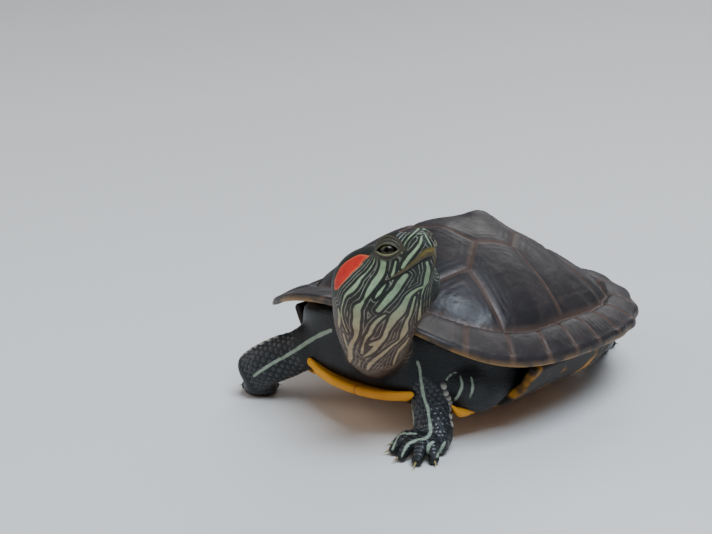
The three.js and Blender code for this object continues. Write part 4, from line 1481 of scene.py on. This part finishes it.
def setOnPoints(tree, given, result, piece, sizeKind):
    # Sets the piece on every point, with the point's turn and size, and makes the copies real.
    turn = put(tree, "GeometryNodeInputNamedAttribute", {"data_type": "QUATERNION"}, {"Name": "turn"})
    size = put(tree, "GeometryNodeInputNamedAttribute", {"data_type": sizeKind}, {"Name": "size"})
    copies = put(tree, "GeometryNodeInstanceOnPoints", None, {
        "Points": given.outputs["Geometry"],
        "Instance": piece,
        "Rotation": turn.outputs[0],
        "Scale": size.outputs[0],
    })
    real = put(tree, "GeometryNodeRealizeInstances", None, {"Geometry": copies.outputs[0]})
    smooth = put(tree, "GeometryNodeSetShadeSmooth", None, {"Geometry": real.outputs[0]})
    coloured = put(tree, "GeometryNodeSetMaterial", None,
                   {"Geometry": smooth.outputs[0], "Material": given.outputs["Material"]})
    tree.links.new(coloured.outputs[0], result.inputs[0])
    return tree


# Claws: one tapered curve is set at the end of every toe.
clawShape = {
    "length": 3.1,          # mm, as radius and droop are
    "radius": 0.72,
    "droop": 0.75,
    "bendAt": 0.6,          # how far along its length it bends
    "taper": (-0.9, 1.02, 1.25, 0),        # from and to along the claw, and the widths there
    "sides": 14,
    "steps": 12,
    "base": -0.35,          # mm ahead of the toe's tip
    "baseGrow": 0.4,        # and more by this for each mm of the toe's half width
    "height": 1.5,          # of its root above the floor
    "slope": -0.12,
    "fullToe": 1.45,        # half width of the toe that takes a claw of full size
}


def clawTree():
    sizes = [(label, "NodeSocketFloat") for label in ("Length", "Radius", "Droop")]
    tree, given, result = newTree("clawTree", *sizes, ("Material", "NodeSocketMaterial"))
    length = given.outputs["Length"]
    bendAt = calc(tree, "MULTIPLY", length, clawShape["bendAt"])
    bend = put(tree, "ShaderNodeCombineXYZ", None, {"Z": bendAt})
    end = put(tree, "ShaderNodeCombineXYZ", None, {"X": given.outputs["Droop"], "Z": length})
    spine = put(tree, "GeometryNodeCurveQuadraticBezier", None, {
        "Resolution": clawShape["steps"],
        "Start": (0, 0, 0),
        "Middle": bend.outputs[0],
        "End": end.outputs[0],
    })
    along = put(tree, "GeometryNodeSplineParameter").outputs["Factor"]
    wide = calc(tree, "MULTIPLY", ramp(tree, along, *clawShape["taper"]), given.outputs["Radius"])
    ring = put(tree, "GeometryNodeCurvePrimitiveCircle", None,
               {"Resolution": clawShape["sides"], "Radius": 1.0})
    horn = put(tree, "GeometryNodeCurveToMesh", None, {
        "Curve": spine.outputs[0],
        "Profile Curve": ring.outputs[0],
        "Scale": wide,
        "Fill Caps": True,
    })
    place = put(tree, "GeometryNodeInputPosition").outputs[0]
    height = put(tree, "ShaderNodeSeparateXYZ", None, {0: place}).outputs["Z"]
    tip = put(tree, "GeometryNodeStoreNamedAttribute", {"data_type": "FLOAT", "domain": "POINT"},
              {"Geometry": horn.outputs[0], "Name": "tip", "Value": calc(tree, "DIVIDE", height, length)})
    return setOnPoints(tree, given, result, tip.outputs[0], "FLOAT")


def aim(direction, side):
    # A turn that takes Z to the direction and X as near as can be to the side.
    z = unit(np.asarray(direction, float))
    x = unit(side - (side @ z) * z)
    y = np.cross(z, x)
    return Matrix(np.stack([x, y, z], 1).tolist()).to_quaternion()


def pointCloud(name, places, turns):
    # Points with a turn each, for a node tree to set pieces on.
    made = meshObject(name, np.array(places), [])
    turnLayer = made.data.attributes.new("turn", "QUATERNION", "POINT")
    turnLayer.data.foreach_set("value", np.array([list(turn) for turn in turns], np.float32).ravel())
    return made


def makeClaws(material):
    places, turns, sizes = [], [], []
    down = np.array([0, 0, -1.0])
    for leg in legs.values():
        heel = np.array(leg["sole"][-1][:2])
        for x, y, wide in leg["toes"]:
            out = unit(np.array([x, y]) - heel)
            direction = np.array([out[0], out[1], clawShape["slope"]])
            reach = clawShape["base"] + clawShape["baseGrow"] * wide
            places.append(np.array([x, y, clawShape["height"]]) + direction * reach)
            turns.append(aim(direction, down))
            sizes.append(wide / clawShape["fullToe"])
    made = pointCloud("claws", places, turns)
    storeValues(made, {"size": sizes})
    grow = made.modifiers.new("claws", "NODES")
    grow.node_group = clawTree()
    sizesInMetres = {label: clawShape[label.lower()] / 1000 for label in ("Length", "Radius", "Droop")}
    setInputs(grow, grow.node_group, {**sizesInMetres, "Material": material})
    return applied(made)


# Scales of the legs: small solid shields set in rows on the skin.
scaleShape = {
    "sides": 10,
    "rings": 6,
    "seed": 7,
    "vary": (0.82, 1.15),   # the sizes differ by this
    "patch": 0.003,         # across each scale's patch of the bake map
    "sink": 0.1,            # mm that a scale's middle lies under the skin
    "tilt": 0.16,           # its free edge is lifted this much
    "reach": 1.2,           # mm from the limb's own surface to the skin, at most
    "floor": 0.5,           # mm above the floor, at least
    # piece: rows, scales round, from, to, half width, half length, half thickness
    "lower": (14, 17, 0.04, 1, 0.72, 0.8, 0.2),
    "sole": (4, 13, 0.1, 0.8, 0.66, 0.7, 0.2),
    "toe": (6, 3, 0.25, 0.9, 0.66, 0.55, 0.18),
    "toeArc": (35, 145),    # degrees round a toe that its scales cover
}
edgeScales = {              # the large pale ones on each leg's outer edge
    "size": (0.8, 1.4, 0.35),
    "start": 0.26,          # along the lower part of the leg
    # angle round the limb, and how many
    "fore_left": (158, 7),
    "fore_right": (10, 7),
    "hind_left": (158, 5),
    "hind_right": (10, 5),
}
bakeMap = {                 # where the limbs' scales lie on the map, as parts of its width and height
    "lower": 0.02,
    "edge": 0.21,           # right of the lower part's own scales
    "sole": 0.26,
    "toe": 0.5,
    "toeStep": 0.09,
    "legStep": 0.24,
    "margin": 0.02,
    "spread": 0.2,          # of a limb, each way
}


def scaleTree():
    tree, given, result = newTree("scaleTree", ("Material", "NodeSocketMaterial"))
    ball = put(tree, "GeometryNodeMeshUVSphere", None,
               {"Segments": scaleShape["sides"], "Rings": scaleShape["rings"], "Radius": 1.0})
    place = put(tree, "GeometryNodeInputPosition")
    kept = put(tree, "GeometryNodeStoreNamedAttribute", {"data_type": "FLOAT_VECTOR", "domain": "POINT"},
               {"Geometry": ball.outputs[0], "Name": "local", "Value": place.outputs[0]})
    return setOnPoints(tree, given, result, kept.outputs[0], "FLOAT_VECTOR")


def scaleSpot(limb, angle, s, half):
    # Where a scale sits: its spot on the limb's own surface and on the skin, the skin's normal, and ahead.
    line = limb.surfaceLine(angle, max(s - half, 0), min(s + half, 1), 3)
    hit, normal = skinTree.find_nearest(Vector(line[1]))[:2]
    return Vector(line[1]), hit, np.array(normal), line[2] - line[0]


def limbScales(limb, tile, band, arc=(0, 360)):
    # Places, turns, sizes and unwrapped roots of one limb's rows of scales.
    rows, around, start, end, wide, long, thick = band
    made = []
    for row in range(rows):
        s = start + (end - start) * (row + 0.5) / rows
        for column in range(around):
            part = (column + 0.5 * (row % 2)) / around
            spot, hit, normal, ahead = scaleSpot(limb, arc[0] + (arc[1] - arc[0]) * part, s, 0.03)
            if (hit - spot).length > scaleShape["reach"] or hit.z < scaleShape["floor"]:
                continue
            root = (tile[0] + bakeMap["spread"] * part, tile[1] + bakeMap["spread"] * s)
            made.append((np.array(hit), normal, ahead, (wide, long, thick), root, 0.0))
    return made


def edgeRow(limb, tile, angle, count):
    made = []
    for row in range(count):
        s = edgeScales["start"] + (1 - edgeScales["start"]) * (row + 0.5) / count
        _, hit, normal, ahead = scaleSpot(limb, angle, s, 0.04)
        root = (tile[0] + bakeMap["edge"], tile[1] + bakeMap["spread"] * s)
        made.append((np.array(hit), normal, ahead, edgeScales["size"], root, 1.0))
    return made


def makeScales(material):
    found = []
    for row, (name, limbs) in enumerate(legLimbs.items()):
        up = bakeMap["legStep"] * row + bakeMap["margin"]
        found += limbScales(limbs["lower"], (bakeMap["lower"], up), scaleShape["lower"])
        found += limbScales(limbs["sole"], (bakeMap["sole"], up), scaleShape["sole"])
        for column, toe in enumerate(limbs["toes"]):
            tile = (bakeMap["toe"] + bakeMap["toeStep"] * column, up)
            found += limbScales(toe, tile, scaleShape["toe"], scaleShape["toeArc"])
        found += edgeRow(limbs["lower"], (bakeMap["lower"], up), *edgeScales[name])
    places, turns, sizes, roots, edges = [], [], [], [], []
    chance = np.random.default_rng(scaleShape["seed"])
    for place, normal, ahead, size, root, edge in found:
        size = np.array(size) * chance.uniform(*scaleShape["vary"], 3)
        along = unit(ahead - (ahead @ normal) * normal)
        over = unit(normal - along * scaleShape["tilt"])
        across = np.cross(along, over)
        places.append(place - normal * scaleShape["sink"])
        turns.append(Matrix(np.stack([across, along, over], 1).tolist()).to_quaternion())
        sizes.append(size / 1000)
        roots.append([*root, 0])
        edges.append(edge)
    made = pointCloud("scales", places, turns)
    for name, vectors in (("size", sizes), ("root", roots)):
        layer = made.data.attributes.new(name, "FLOAT_VECTOR", "POINT")
        layer.data.foreach_set("vector", np.array(vectors, np.float32).ravel())
    storeValues(made, {"edge": edges})
    grow = made.modifiers.new("scales", "NODES")
    grow.node_group = scaleTree()
    setInputs(grow, grow.node_group, {"Material": material})
    applied(made)
    storeValues(made, {"limbStripe": distanceToLines(vertexPlaces(made.data), legLines)})
    unwrapScales(made.data)
    return made


def readVectors(data, name):
    flat = np.empty(len(data.vertices) * 3, np.float32)
    data.attributes[name].data.foreach_get("vector", flat)
    return flat.reshape(-1, 3)


def unwrapScales(data):
    # Every scale is a small patch at its root's place on the limb's unwrap.
    corner = np.empty(len(data.loops), np.int32)
    data.loops.foreach_get("vertex_index", corner)
    spots = readVectors(data, "root")[:, :2] + readVectors(data, "local")[:, :2] * scaleShape["patch"] / 2
    layer = data.uv_layers.new(name="OFBake")
    layer.data.foreach_set("uv", spots[corner].astype(np.float32).ravel())


def newMaterial(name, **settings):
    # A material, its node tree and its shader, with the shader's sockets set.
    made = bpy.data.materials.new(name)
    made.use_nodes = True
    tree = made.node_tree
    shader = tree.nodes["Principled BSDF"]
    for label, value in settings.items():
        shader.inputs[label.replace("_", " ")].default_value = value
    return made, tree, shader


def paint(r, g, b):
    return (r, g, b, 1)


def read(tree, name):
    return put(tree, "ShaderNodeAttribute", {"attribute_name": name}).outputs["Fac"]


def mix(tree, factor, a, b):
    node = put(tree, "ShaderNodeMix", {"data_type": "RGBA"}, {"Factor": factor})
    for name, value in (("A", a), ("B", b)):
        socket = next(one for one in node.inputs if one.name == name and one.type == "RGBA")
        if isinstance(value, bpy.types.NodeSocket):
            tree.links.new(value, socket)
        else:
            socket.default_value = value
    return next(one for one in node.outputs if one.type == "RGBA")


def grain(tree, scale, detail):
    # Noise in object space, about -1 to 1, with the scale in features per metre.
    place = put(tree, "ShaderNodeTexCoord").outputs["Object"]
    noise = put(tree, "ShaderNodeTexNoise", None, {"Vector": place, "Scale": scale, "Detail": detail})
    return calc(tree, "MULTIPLY_ADD", noise.outputs[0], 2.0, -1.0)


def cells(tree, scale):
    # The distance to the edges of small cells.
    place = put(tree, "ShaderNodeTexCoord").outputs["Object"]
    node = put(tree, "ShaderNodeTexVoronoi", {"feature": "DISTANCE_TO_EDGE"},
               {"Vector": place, "Scale": scale})
    return node.outputs["Distance"]


def bump(tree, shader, height, distance, strength=1.0, before=None):
    node = put(tree, "ShaderNodeBump", None, {"Height": height, "Distance": distance, "Strength": strength})
    if before is not None:
        tree.links.new(before, node.inputs["Normal"])
    tree.links.new(node.outputs[0], shader.inputs["Normal"])
    return node.outputs[0]


skinPaint = {
    "headDark": paint(0.011, 0.014, 0.010),
    "neckDark": paint(0.050, 0.030, 0.021),
    "legDark": paint(0.010, 0.011, 0.012),
    "headPale": paint(0.25, 0.34, 0.20),
    "neckPale": paint(0.34, 0.25, 0.14),
    "legPale": paint(0.25, 0.31, 0.235),
    "line": paint(0.19, 0.20, 0.155),
    "neckLine": paint(0.23, 0.165, 0.11),
    "red": paint(0.52, 0.020, 0.012),
    "redEdge": paint(0.58, 0.11, 0.04),
    "beak": paint(0.25, 0.175, 0.03),
    "beakDark": paint(0.075, 0.055, 0.022),
    "lid": paint(0.052, 0.045, 0.026),
    # painted shade: near-black in the creases of the lid folds and inside the eye's opening
    "lidCreaseShade": paint(0.013, 0.012, 0.010),
    "lidEdge": paint(0.15, 0.14, 0.075),
    "nostrilRim": paint(0.12, 0.16, 0.11),
    # painted shade: black for the inside of the nostrils and the mouth's groove
    "pit": paint(0.003, 0.003, 0.003),
}
skinFinish = {
    "rough": 0.46,
    "shine": 0.28,
    "thinLine": 0.82,       # mm from a stripe to the thin line that follows it
    "thinStep": 0.78,       # and on to the next
    "pebbles": 1500,        # per metre
    "pebbleHeight": 0.00009,
    "stripeHeight": 0.00007,
}


def skinMaterial():
    made, tree, shader = newMaterial("skin", Roughness=skinFinish["rough"],
                                     Specular_IOR_Level=skinFinish["shine"])
    wobble = calc(tree, "MULTIPLY", grain(tree, 260, 2), 0.22)
    fine = calc(tree, "MULTIPLY", grain(tree, 900, 2), 0.1)
    wobble = calc(tree, "ADD", wobble, fine)
    warmth, linedAboveShade = read(tree, "warmth"), read(tree, "linedAboveShade")
    dark = mix(tree, warmth, skinPaint["headDark"], skinPaint["neckDark"])
    # where the markings fade low on the neck, the darker leg skin stands in as painted shade
    dark = mix(tree, linedAboveShade, skinPaint["legDark"], dark)
    pale = mix(tree, warmth, skinPaint["headPale"], skinPaint["neckPale"])
    lineColour = mix(tree, warmth, skinPaint["line"], skinPaint["neckLine"])
    stripe = calc(tree, "ADD", read(tree, "stripe"), wobble)
    fromLine = calc(tree, "SUBTRACT", stripe, skinFinish["thinLine"])
    wave = calc(tree, "COSINE", calc(tree, "MULTIPLY", fromLine, 2 * math.pi / skinFinish["thinStep"]))
    contour = ramp(tree, wave, 0.35, 0.95)
    contour = calc(tree, "MULTIPLY", contour, ramp(tree, stripe, 0.3, 0.5))
    contour = calc(tree, "MULTIPLY", contour, ramp(tree, stripe, 3.2, 2.2))
    broken = ramp(tree, grain(tree, 420, 2), -0.45, 0.1, 0.25, 1.0)
    contour = calc(tree, "MULTIPLY", calc(tree, "MULTIPLY", contour, broken), linedAboveShade)
    colour = mix(tree, contour, dark, lineColour)
    blotch = ramp(tree, grain(tree, 700, 3), -0.7, 0.5, 0.72, 1.08)
    colour = mix(tree, ramp(tree, stripe, 0.04, -0.18), colour, pale)
    limb = calc(tree, "ADD", read(tree, "limbStripe"), wobble)
    onLimb = calc(tree, "MULTIPLY", ramp(tree, limb, 0.05, -0.2), ramp(tree, linedAboveShade, 0.7, 0.4))
    colour = mix(tree, onLimb, colour, skinPaint["legPale"])
    red = calc(tree, "ADD", read(tree, "red"), calc(tree, "MULTIPLY", wobble, 1.2))
    redColour = mix(tree, ramp(tree, red, -0.7, -0.05), skinPaint["red"], skinPaint["redEdge"])
    colour = mix(tree, ramp(tree, red, 0.12, -0.1), colour, redColour)
    beak = calc(tree, "ADD", read(tree, "beak"), calc(tree, "MULTIPLY", wobble, 0.6))
    horn = mix(tree, ramp(tree, beak, -1.2, 0.0), skinPaint["beak"], skinPaint["beakDark"])
    colour = mix(tree, ramp(tree, beak, 0.1, -0.15), colour, horn)
    lid = read(tree, "lid")
    lidWarped = calc(tree, "ADD", lid, calc(tree, "MULTIPLY", wobble, 0.6))
    # The lid folds are painted dark in their grooves, at the carved folds' own step: painted shade in the
    # creases.
    fold = calc(tree, "COSINE", calc(tree, "MULTIPLY", lidWarped, 2 * math.pi / lids["foldStep"]))
    lidWithCreaseShade = mix(tree, ramp(tree, fold, -0.2, 1.1), skinPaint["lid"], skinPaint["lidCreaseShade"])
    lidEnd = ramp(tree, read(tree, "lidLow"), 0.0, 1.0, 2.6, 1.5)
    lidArea = ramp(tree, calc(tree, "SUBTRACT", lidWarped, lidEnd), 0.4, -0.4)
    colour = mix(tree, lidArea, colour, lidWithCreaseShade)
    lower = ramp(tree, read(tree, "lidLow"), 0.0, 0.4, 0.25, 1.0)
    edge = calc(tree, "MULTIPLY", ramp(tree, lid, 0.46, 0.3), lower)
    colour = mix(tree, edge, colour, skinPaint["lidEdge"])
    # painted shade: the skin inside the eye's opening is near-black
    colour = mix(tree, ramp(tree, lid, 0.05, -0.15), colour, skinPaint["lidCreaseShade"])
    nostril = read(tree, "nostril")
    colour = mix(tree, ramp(tree, nostril, 1.0, 0.7, 0, 0.85), colour, skinPaint["nostrilRim"])
    # painted shade: black in the nostril pits and along the mouth's groove
    colour = mix(tree, ramp(tree, nostril, 0.66, 0.5), colour, skinPaint["pit"])
    colour = mix(tree, ramp(tree, read(tree, "mouth"), 0.24, 0.1), colour, skinPaint["pit"])
    shade = put(tree, "ShaderNodeMix", {"data_type": "RGBA", "blend_type": "MULTIPLY"}, {"Factor": 1.0})
    sockets = [one for one in shade.inputs if one.type == "RGBA"]
    tree.links.new(colour, sockets[0])
    tree.links.new(blotch, sockets[1])
    tree.links.new(next(one for one in shade.outputs if one.type == "RGBA"), shader.inputs["Base Color"])
    pebbles = cells(tree, skinFinish["pebbles"])
    first = bump(tree, shader, ramp(tree, pebbles, 0.0, 0.35), skinFinish["pebbleHeight"], 0.7)
    bump(tree, shader, ramp(tree, stripe, 0.2, -0.3), skinFinish["stripeHeight"], 0.6, first)
    return made


shellPaint = {
    "dark": paint(0.010, 0.009, 0.010),
    "cloud": paint(0.031, 0.023, 0.023),
    "streak": paint(0.050, 0.029, 0.021),
    "scuteEdge": paint(0.085, 0.048, 0.034),
    "seam": paint(0.030, 0.020, 0.017),
    "under": paint(0.28, 0.145, 0.036),
    "underSpot": paint(0.026, 0.018, 0.011),
}


def shellMaterial():
    made, tree, shader = newMaterial("carapace", Roughness=0.4, Specular_IOR_Level=0.36)
    seam, under = read(tree, "seam"), read(tree, "under")
    cloudy = grain(tree, 90, 4)
    streak = grain(tree, 240, 3)
    colour = mix(tree, ramp(tree, cloudy, -0.5, 0.6), shellPaint["dark"], shellPaint["cloud"])
    streaky = calc(tree, "MULTIPLY", ramp(tree, streak, 0.1, 0.7), 0.6)
    colour = mix(tree, streaky, colour, shellPaint["streak"])
    edge = calc(tree, "MULTIPLY", ramp(tree, seam, 1.3, 0.2), ramp(tree, cloudy, -0.6, 0.2, 0.4, 0.85))
    colour = mix(tree, edge, colour, shellPaint["scuteEdge"])
    colour = mix(tree, ramp(tree, seam, 0.28, 0.0, 0, 0.7), colour, shellPaint["seam"])
    spot = ramp(tree, grain(tree, 150, 2), -0.15, 0.25)
    colour = mix(tree, under, colour, mix(tree, spot, shellPaint["under"], shellPaint["underSpot"]))
    tree.links.new(colour, shader.inputs["Base Color"])
    rough = ramp(tree, grain(tree, 160, 4), -0.6, 0.6, 0.34, 0.56)
    tree.links.new(rough, shader.inputs["Roughness"])
    uneven = calc(tree, "ADD", grain(tree, 260, 4), calc(tree, "MULTIPLY", cloudy, 1.2))
    bump(tree, shader, uneven, 0.0003, 0.5)
    return made


plastronPaint = {
    "yellow": paint(0.68, 0.31, 0.012),
    "amber": paint(0.55, 0.21, 0.01),
    "blot": paint(0.018, 0.014, 0.010),
    # painted shade: the bridge is near-black, partly its own dark blotches, partly the shade under the
    # carapace's rim
    "bridge": paint(0.014, 0.009, 0.006),
    "seam": paint(0.09, 0.04, 0.015),
}


def plastronMaterial():
    made, tree, shader = newMaterial("plastron", Roughness=0.6, Specular_IOR_Level=0.25)
    seam, aside = read(tree, "seam"), calc(tree, "ABSOLUTE", read(tree, "aside"))
    yellow = ramp(tree, grain(tree, 60, 3), -0.6, 0.6)
    yellow = mix(tree, yellow, plastronPaint["yellow"], plastronPaint["amber"])
    ragged = calc(tree, "MULTIPLY", seam, ramp(tree, grain(tree, 110, 2), -0.4, 0.4, 0.5, 1.2))
    blot = calc(tree, "MULTIPLY", ramp(tree, ragged, 3.0, 3.8), ramp(tree, aside, 20.0, 17.5))
    blot = calc(tree, "MULTIPLY", blot, ramp(tree, read(tree, "back"), -38.5, -36.5))
    colour = mix(tree, blot, yellow, plastronPaint["blot"])
    # The bridge is painted near-black with ragged yellow patches left: partly its own dark blotches, partly
    # painted shade under the rim.
    onBridge = ramp(tree, aside, 25.5, 28.0)
    patches = calc(tree, "MULTIPLY", onBridge, ramp(tree, grain(tree, 130, 2), -0.42, -0.05, 1.0, 0.0))
    colour = mix(tree, calc(tree, "SUBTRACT", onBridge, patches), colour, plastronPaint["bridge"])
    colour = mix(tree, ramp(tree, seam, 0.3, 0.05, 0, 0.75), colour, plastronPaint["seam"])
    tree.links.new(colour, shader.inputs["Base Color"])
    bump(tree, shader, grain(tree, 300, 4), 0.00015, 0.5)
    return made


eyePaint = {
    "iris": paint(0.028, 0.026, 0.013),
    "irisFleck": paint(0.062, 0.058, 0.028),
    "bar": paint(0.006, 0.006, 0.004),
    "roundIris": paint(0.005, 0.005, 0.004),
    "pupil": paint(0.001, 0.001, 0.001),
}


def eyeMaterial():
    made, tree, shader = newMaterial("eye", Roughness=0.16, Coat_Weight=0.06, Coat_Roughness=0.02,
                                     Specular_IOR_Level=0.15)
    away, above = read(tree, "fromAxis"), calc(tree, "ABSOLUTE", read(tree, "above"))
    fleck = ramp(tree, grain(tree, 2600, 2), -0.5, 0.5)
    iris = mix(tree, fleck, eyePaint["iris"], eyePaint["irisFleck"])
    bar = calc(tree, "MULTIPLY", ramp(tree, above, 0.42, 0.25), ramp(tree, away, 1.5, 1.2))
    iris = mix(tree, bar, iris, eyePaint["bar"])
    outside = ramp(tree, away, eyeShape["iris"] - 0.12, eyeShape["iris"] + 0.1)
    colour = mix(tree, outside, iris, eyePaint["roundIris"])
    inside = ramp(tree, away, eyeShape["pupil"] + 0.06, eyeShape["pupil"] - 0.06)
    colour = mix(tree, inside, colour, eyePaint["pupil"])
    tree.links.new(colour, shader.inputs["Base Color"])
    return made


clawPaint = {"root": paint(0.055, 0.045, 0.028), "tip": paint(0.40, 0.31, 0.12)}


def clawMaterial():
    made, tree, shader = newMaterial("claw", Roughness=0.3, Specular_IOR_Level=0.5)
    colour = mix(tree, ramp(tree, read(tree, "tip"), 0.0, 0.75), clawPaint["root"], clawPaint["tip"])
    tree.links.new(colour, shader.inputs["Base Color"])
    return made


scalePaint = {
    "dark": paint(0.008, 0.009, 0.011),
    "slate": paint(0.022, 0.023, 0.028),
    "freeEdge": paint(0.07, 0.075, 0.07),
    "creamRoot": paint(0.02, 0.02, 0.02),
    "cream": paint(0.30, 0.28, 0.23),
}


def scaleMaterial():
    made, tree, shader = newMaterial("scales", Roughness=0.34, Specular_IOR_Level=0.45)
    place = put(tree, "ShaderNodeAttribute", {"attribute_name": "local"}).outputs["Vector"]
    along = put(tree, "ShaderNodeSeparateXYZ", None, {0: place}).outputs["Y"]
    dark = ramp(tree, grain(tree, 420, 2), -0.5, 0.5)
    dark = mix(tree, dark, scalePaint["dark"], scalePaint["slate"])
    patchy = ramp(tree, grain(tree, 160, 2), -0.3, 0.4, 0.1, 0.5)
    rim = calc(tree, "MULTIPLY", ramp(tree, along, -0.2, 0.8), patchy)
    dark = mix(tree, rim, dark, scalePaint["freeEdge"])
    colour = mix(tree, ramp(tree, read(tree, "limbStripe"), 0.05, -0.25), dark, skinPaint["legPale"])
    cream = mix(tree, ramp(tree, along, -0.5, 0.5), scalePaint["creamRoot"], scalePaint["cream"])
    colour = mix(tree, read(tree, "edge"), colour, cream)
    tree.links.new(colour, shader.inputs["Base Color"])
    bump(tree, shader, grain(tree, 2200, 2), 0.00005, 0.5)
    return made


def dress(made, material):
    made.data.materials.clear()
    made.data.materials.append(material)
    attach(made, "root")


clawFinish = clawMaterial()
claws = makeClaws(clawFinish)
scaleFinish = scaleMaterial()
scales = makeScales(scaleFinish)
dress(scales, scaleFinish)
print("scales:", len(scales.data.polygons), "faces")
nodeNames = list(frame["nodes"])
fleshNodes = ["trunk", "neck", "head", "lower_jaw", "tail"]
fleshNodes += [name for name in nodeNames if name.startswith(("fore_", "hind_")) and "claw" not in name]
dress(skin, skinMaterial())
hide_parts(*fleshNodes)
dress(carapace, shellMaterial())
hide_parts("carapace")
dress(plastron, plastronMaterial())
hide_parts("plastron")
eyeFinish = eyeMaterial()
for made, node in zip(eyes, ("eye_right", "eye_left")):
    dress(made, eyeFinish)
    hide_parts(node)
dress(claws, clawFinish)
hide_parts(*[name for name in nodeNames if "claw" in name])
print("pieces dressed")

studio = {
    "floorHalf": 3000,      # mm
    "floor": paint(0.75, 0.73, 0.70),
    "floorRough": 0.6,
    "sky": paint(0.86, 0.90, 1.0),
    "skyStrength": 0.22,
    "aimHeight": 0.03,      # metres above the floor that the lights point at
}
floorCorners = [[x * studio["floorHalf"], y * studio["floorHalf"], 0]
                for x, y in ((-1, -1), (1, -1), (1, 1), (-1, 1))]
floor = meshObject("floor", floorCorners, [[0, 1, 2, 3]])
floorFinish, _, _ = newMaterial("floor", Base_Color=studio["floor"], Roughness=studio["floorRough"])
floor.data.materials.append(floorFinish)

lights = {
    "key": {"place": (0.5, -0.3, 1.2), "size": 0.7, "watts": 24, "colour": (0.74, 0.86, 1.0)},
    "fill": {"place": (-0.9, -1.0, 0.7), "size": 1.0, "watts": 7, "colour": (1.0, 0.94, 0.86)},
    "back": {"place": (-0.3, 1.2, 0.9), "size": 1.0, "watts": 6, "colour": (1.0, 0.98, 0.96)},
}
for name, light in lights.items():
    data = bpy.data.lights.new(name, "AREA")
    data.size = light["size"]
    data.energy = light["watts"]
    data.color = light["colour"]
    lamp = bpy.data.objects.new(name, data)
    bpy.context.scene.collection.objects.link(lamp)
    lamp.location = light["place"]
    lamp.rotation_mode = "QUATERNION"
    ahead = Vector((0, 0, studio["aimHeight"])) - Vector(light["place"])
    lamp.rotation_quaternion = ahead.to_track_quat("-Z", "Y")
sky = bpy.data.worlds.new("sky")
sky.use_nodes = True
sky.node_tree.nodes["Background"].inputs["Color"].default_value = studio["sky"]
sky.node_tree.nodes["Background"].inputs["Strength"].default_value = studio["skyStrength"]
bpy.context.scene.world = sky
print("floor and light set")
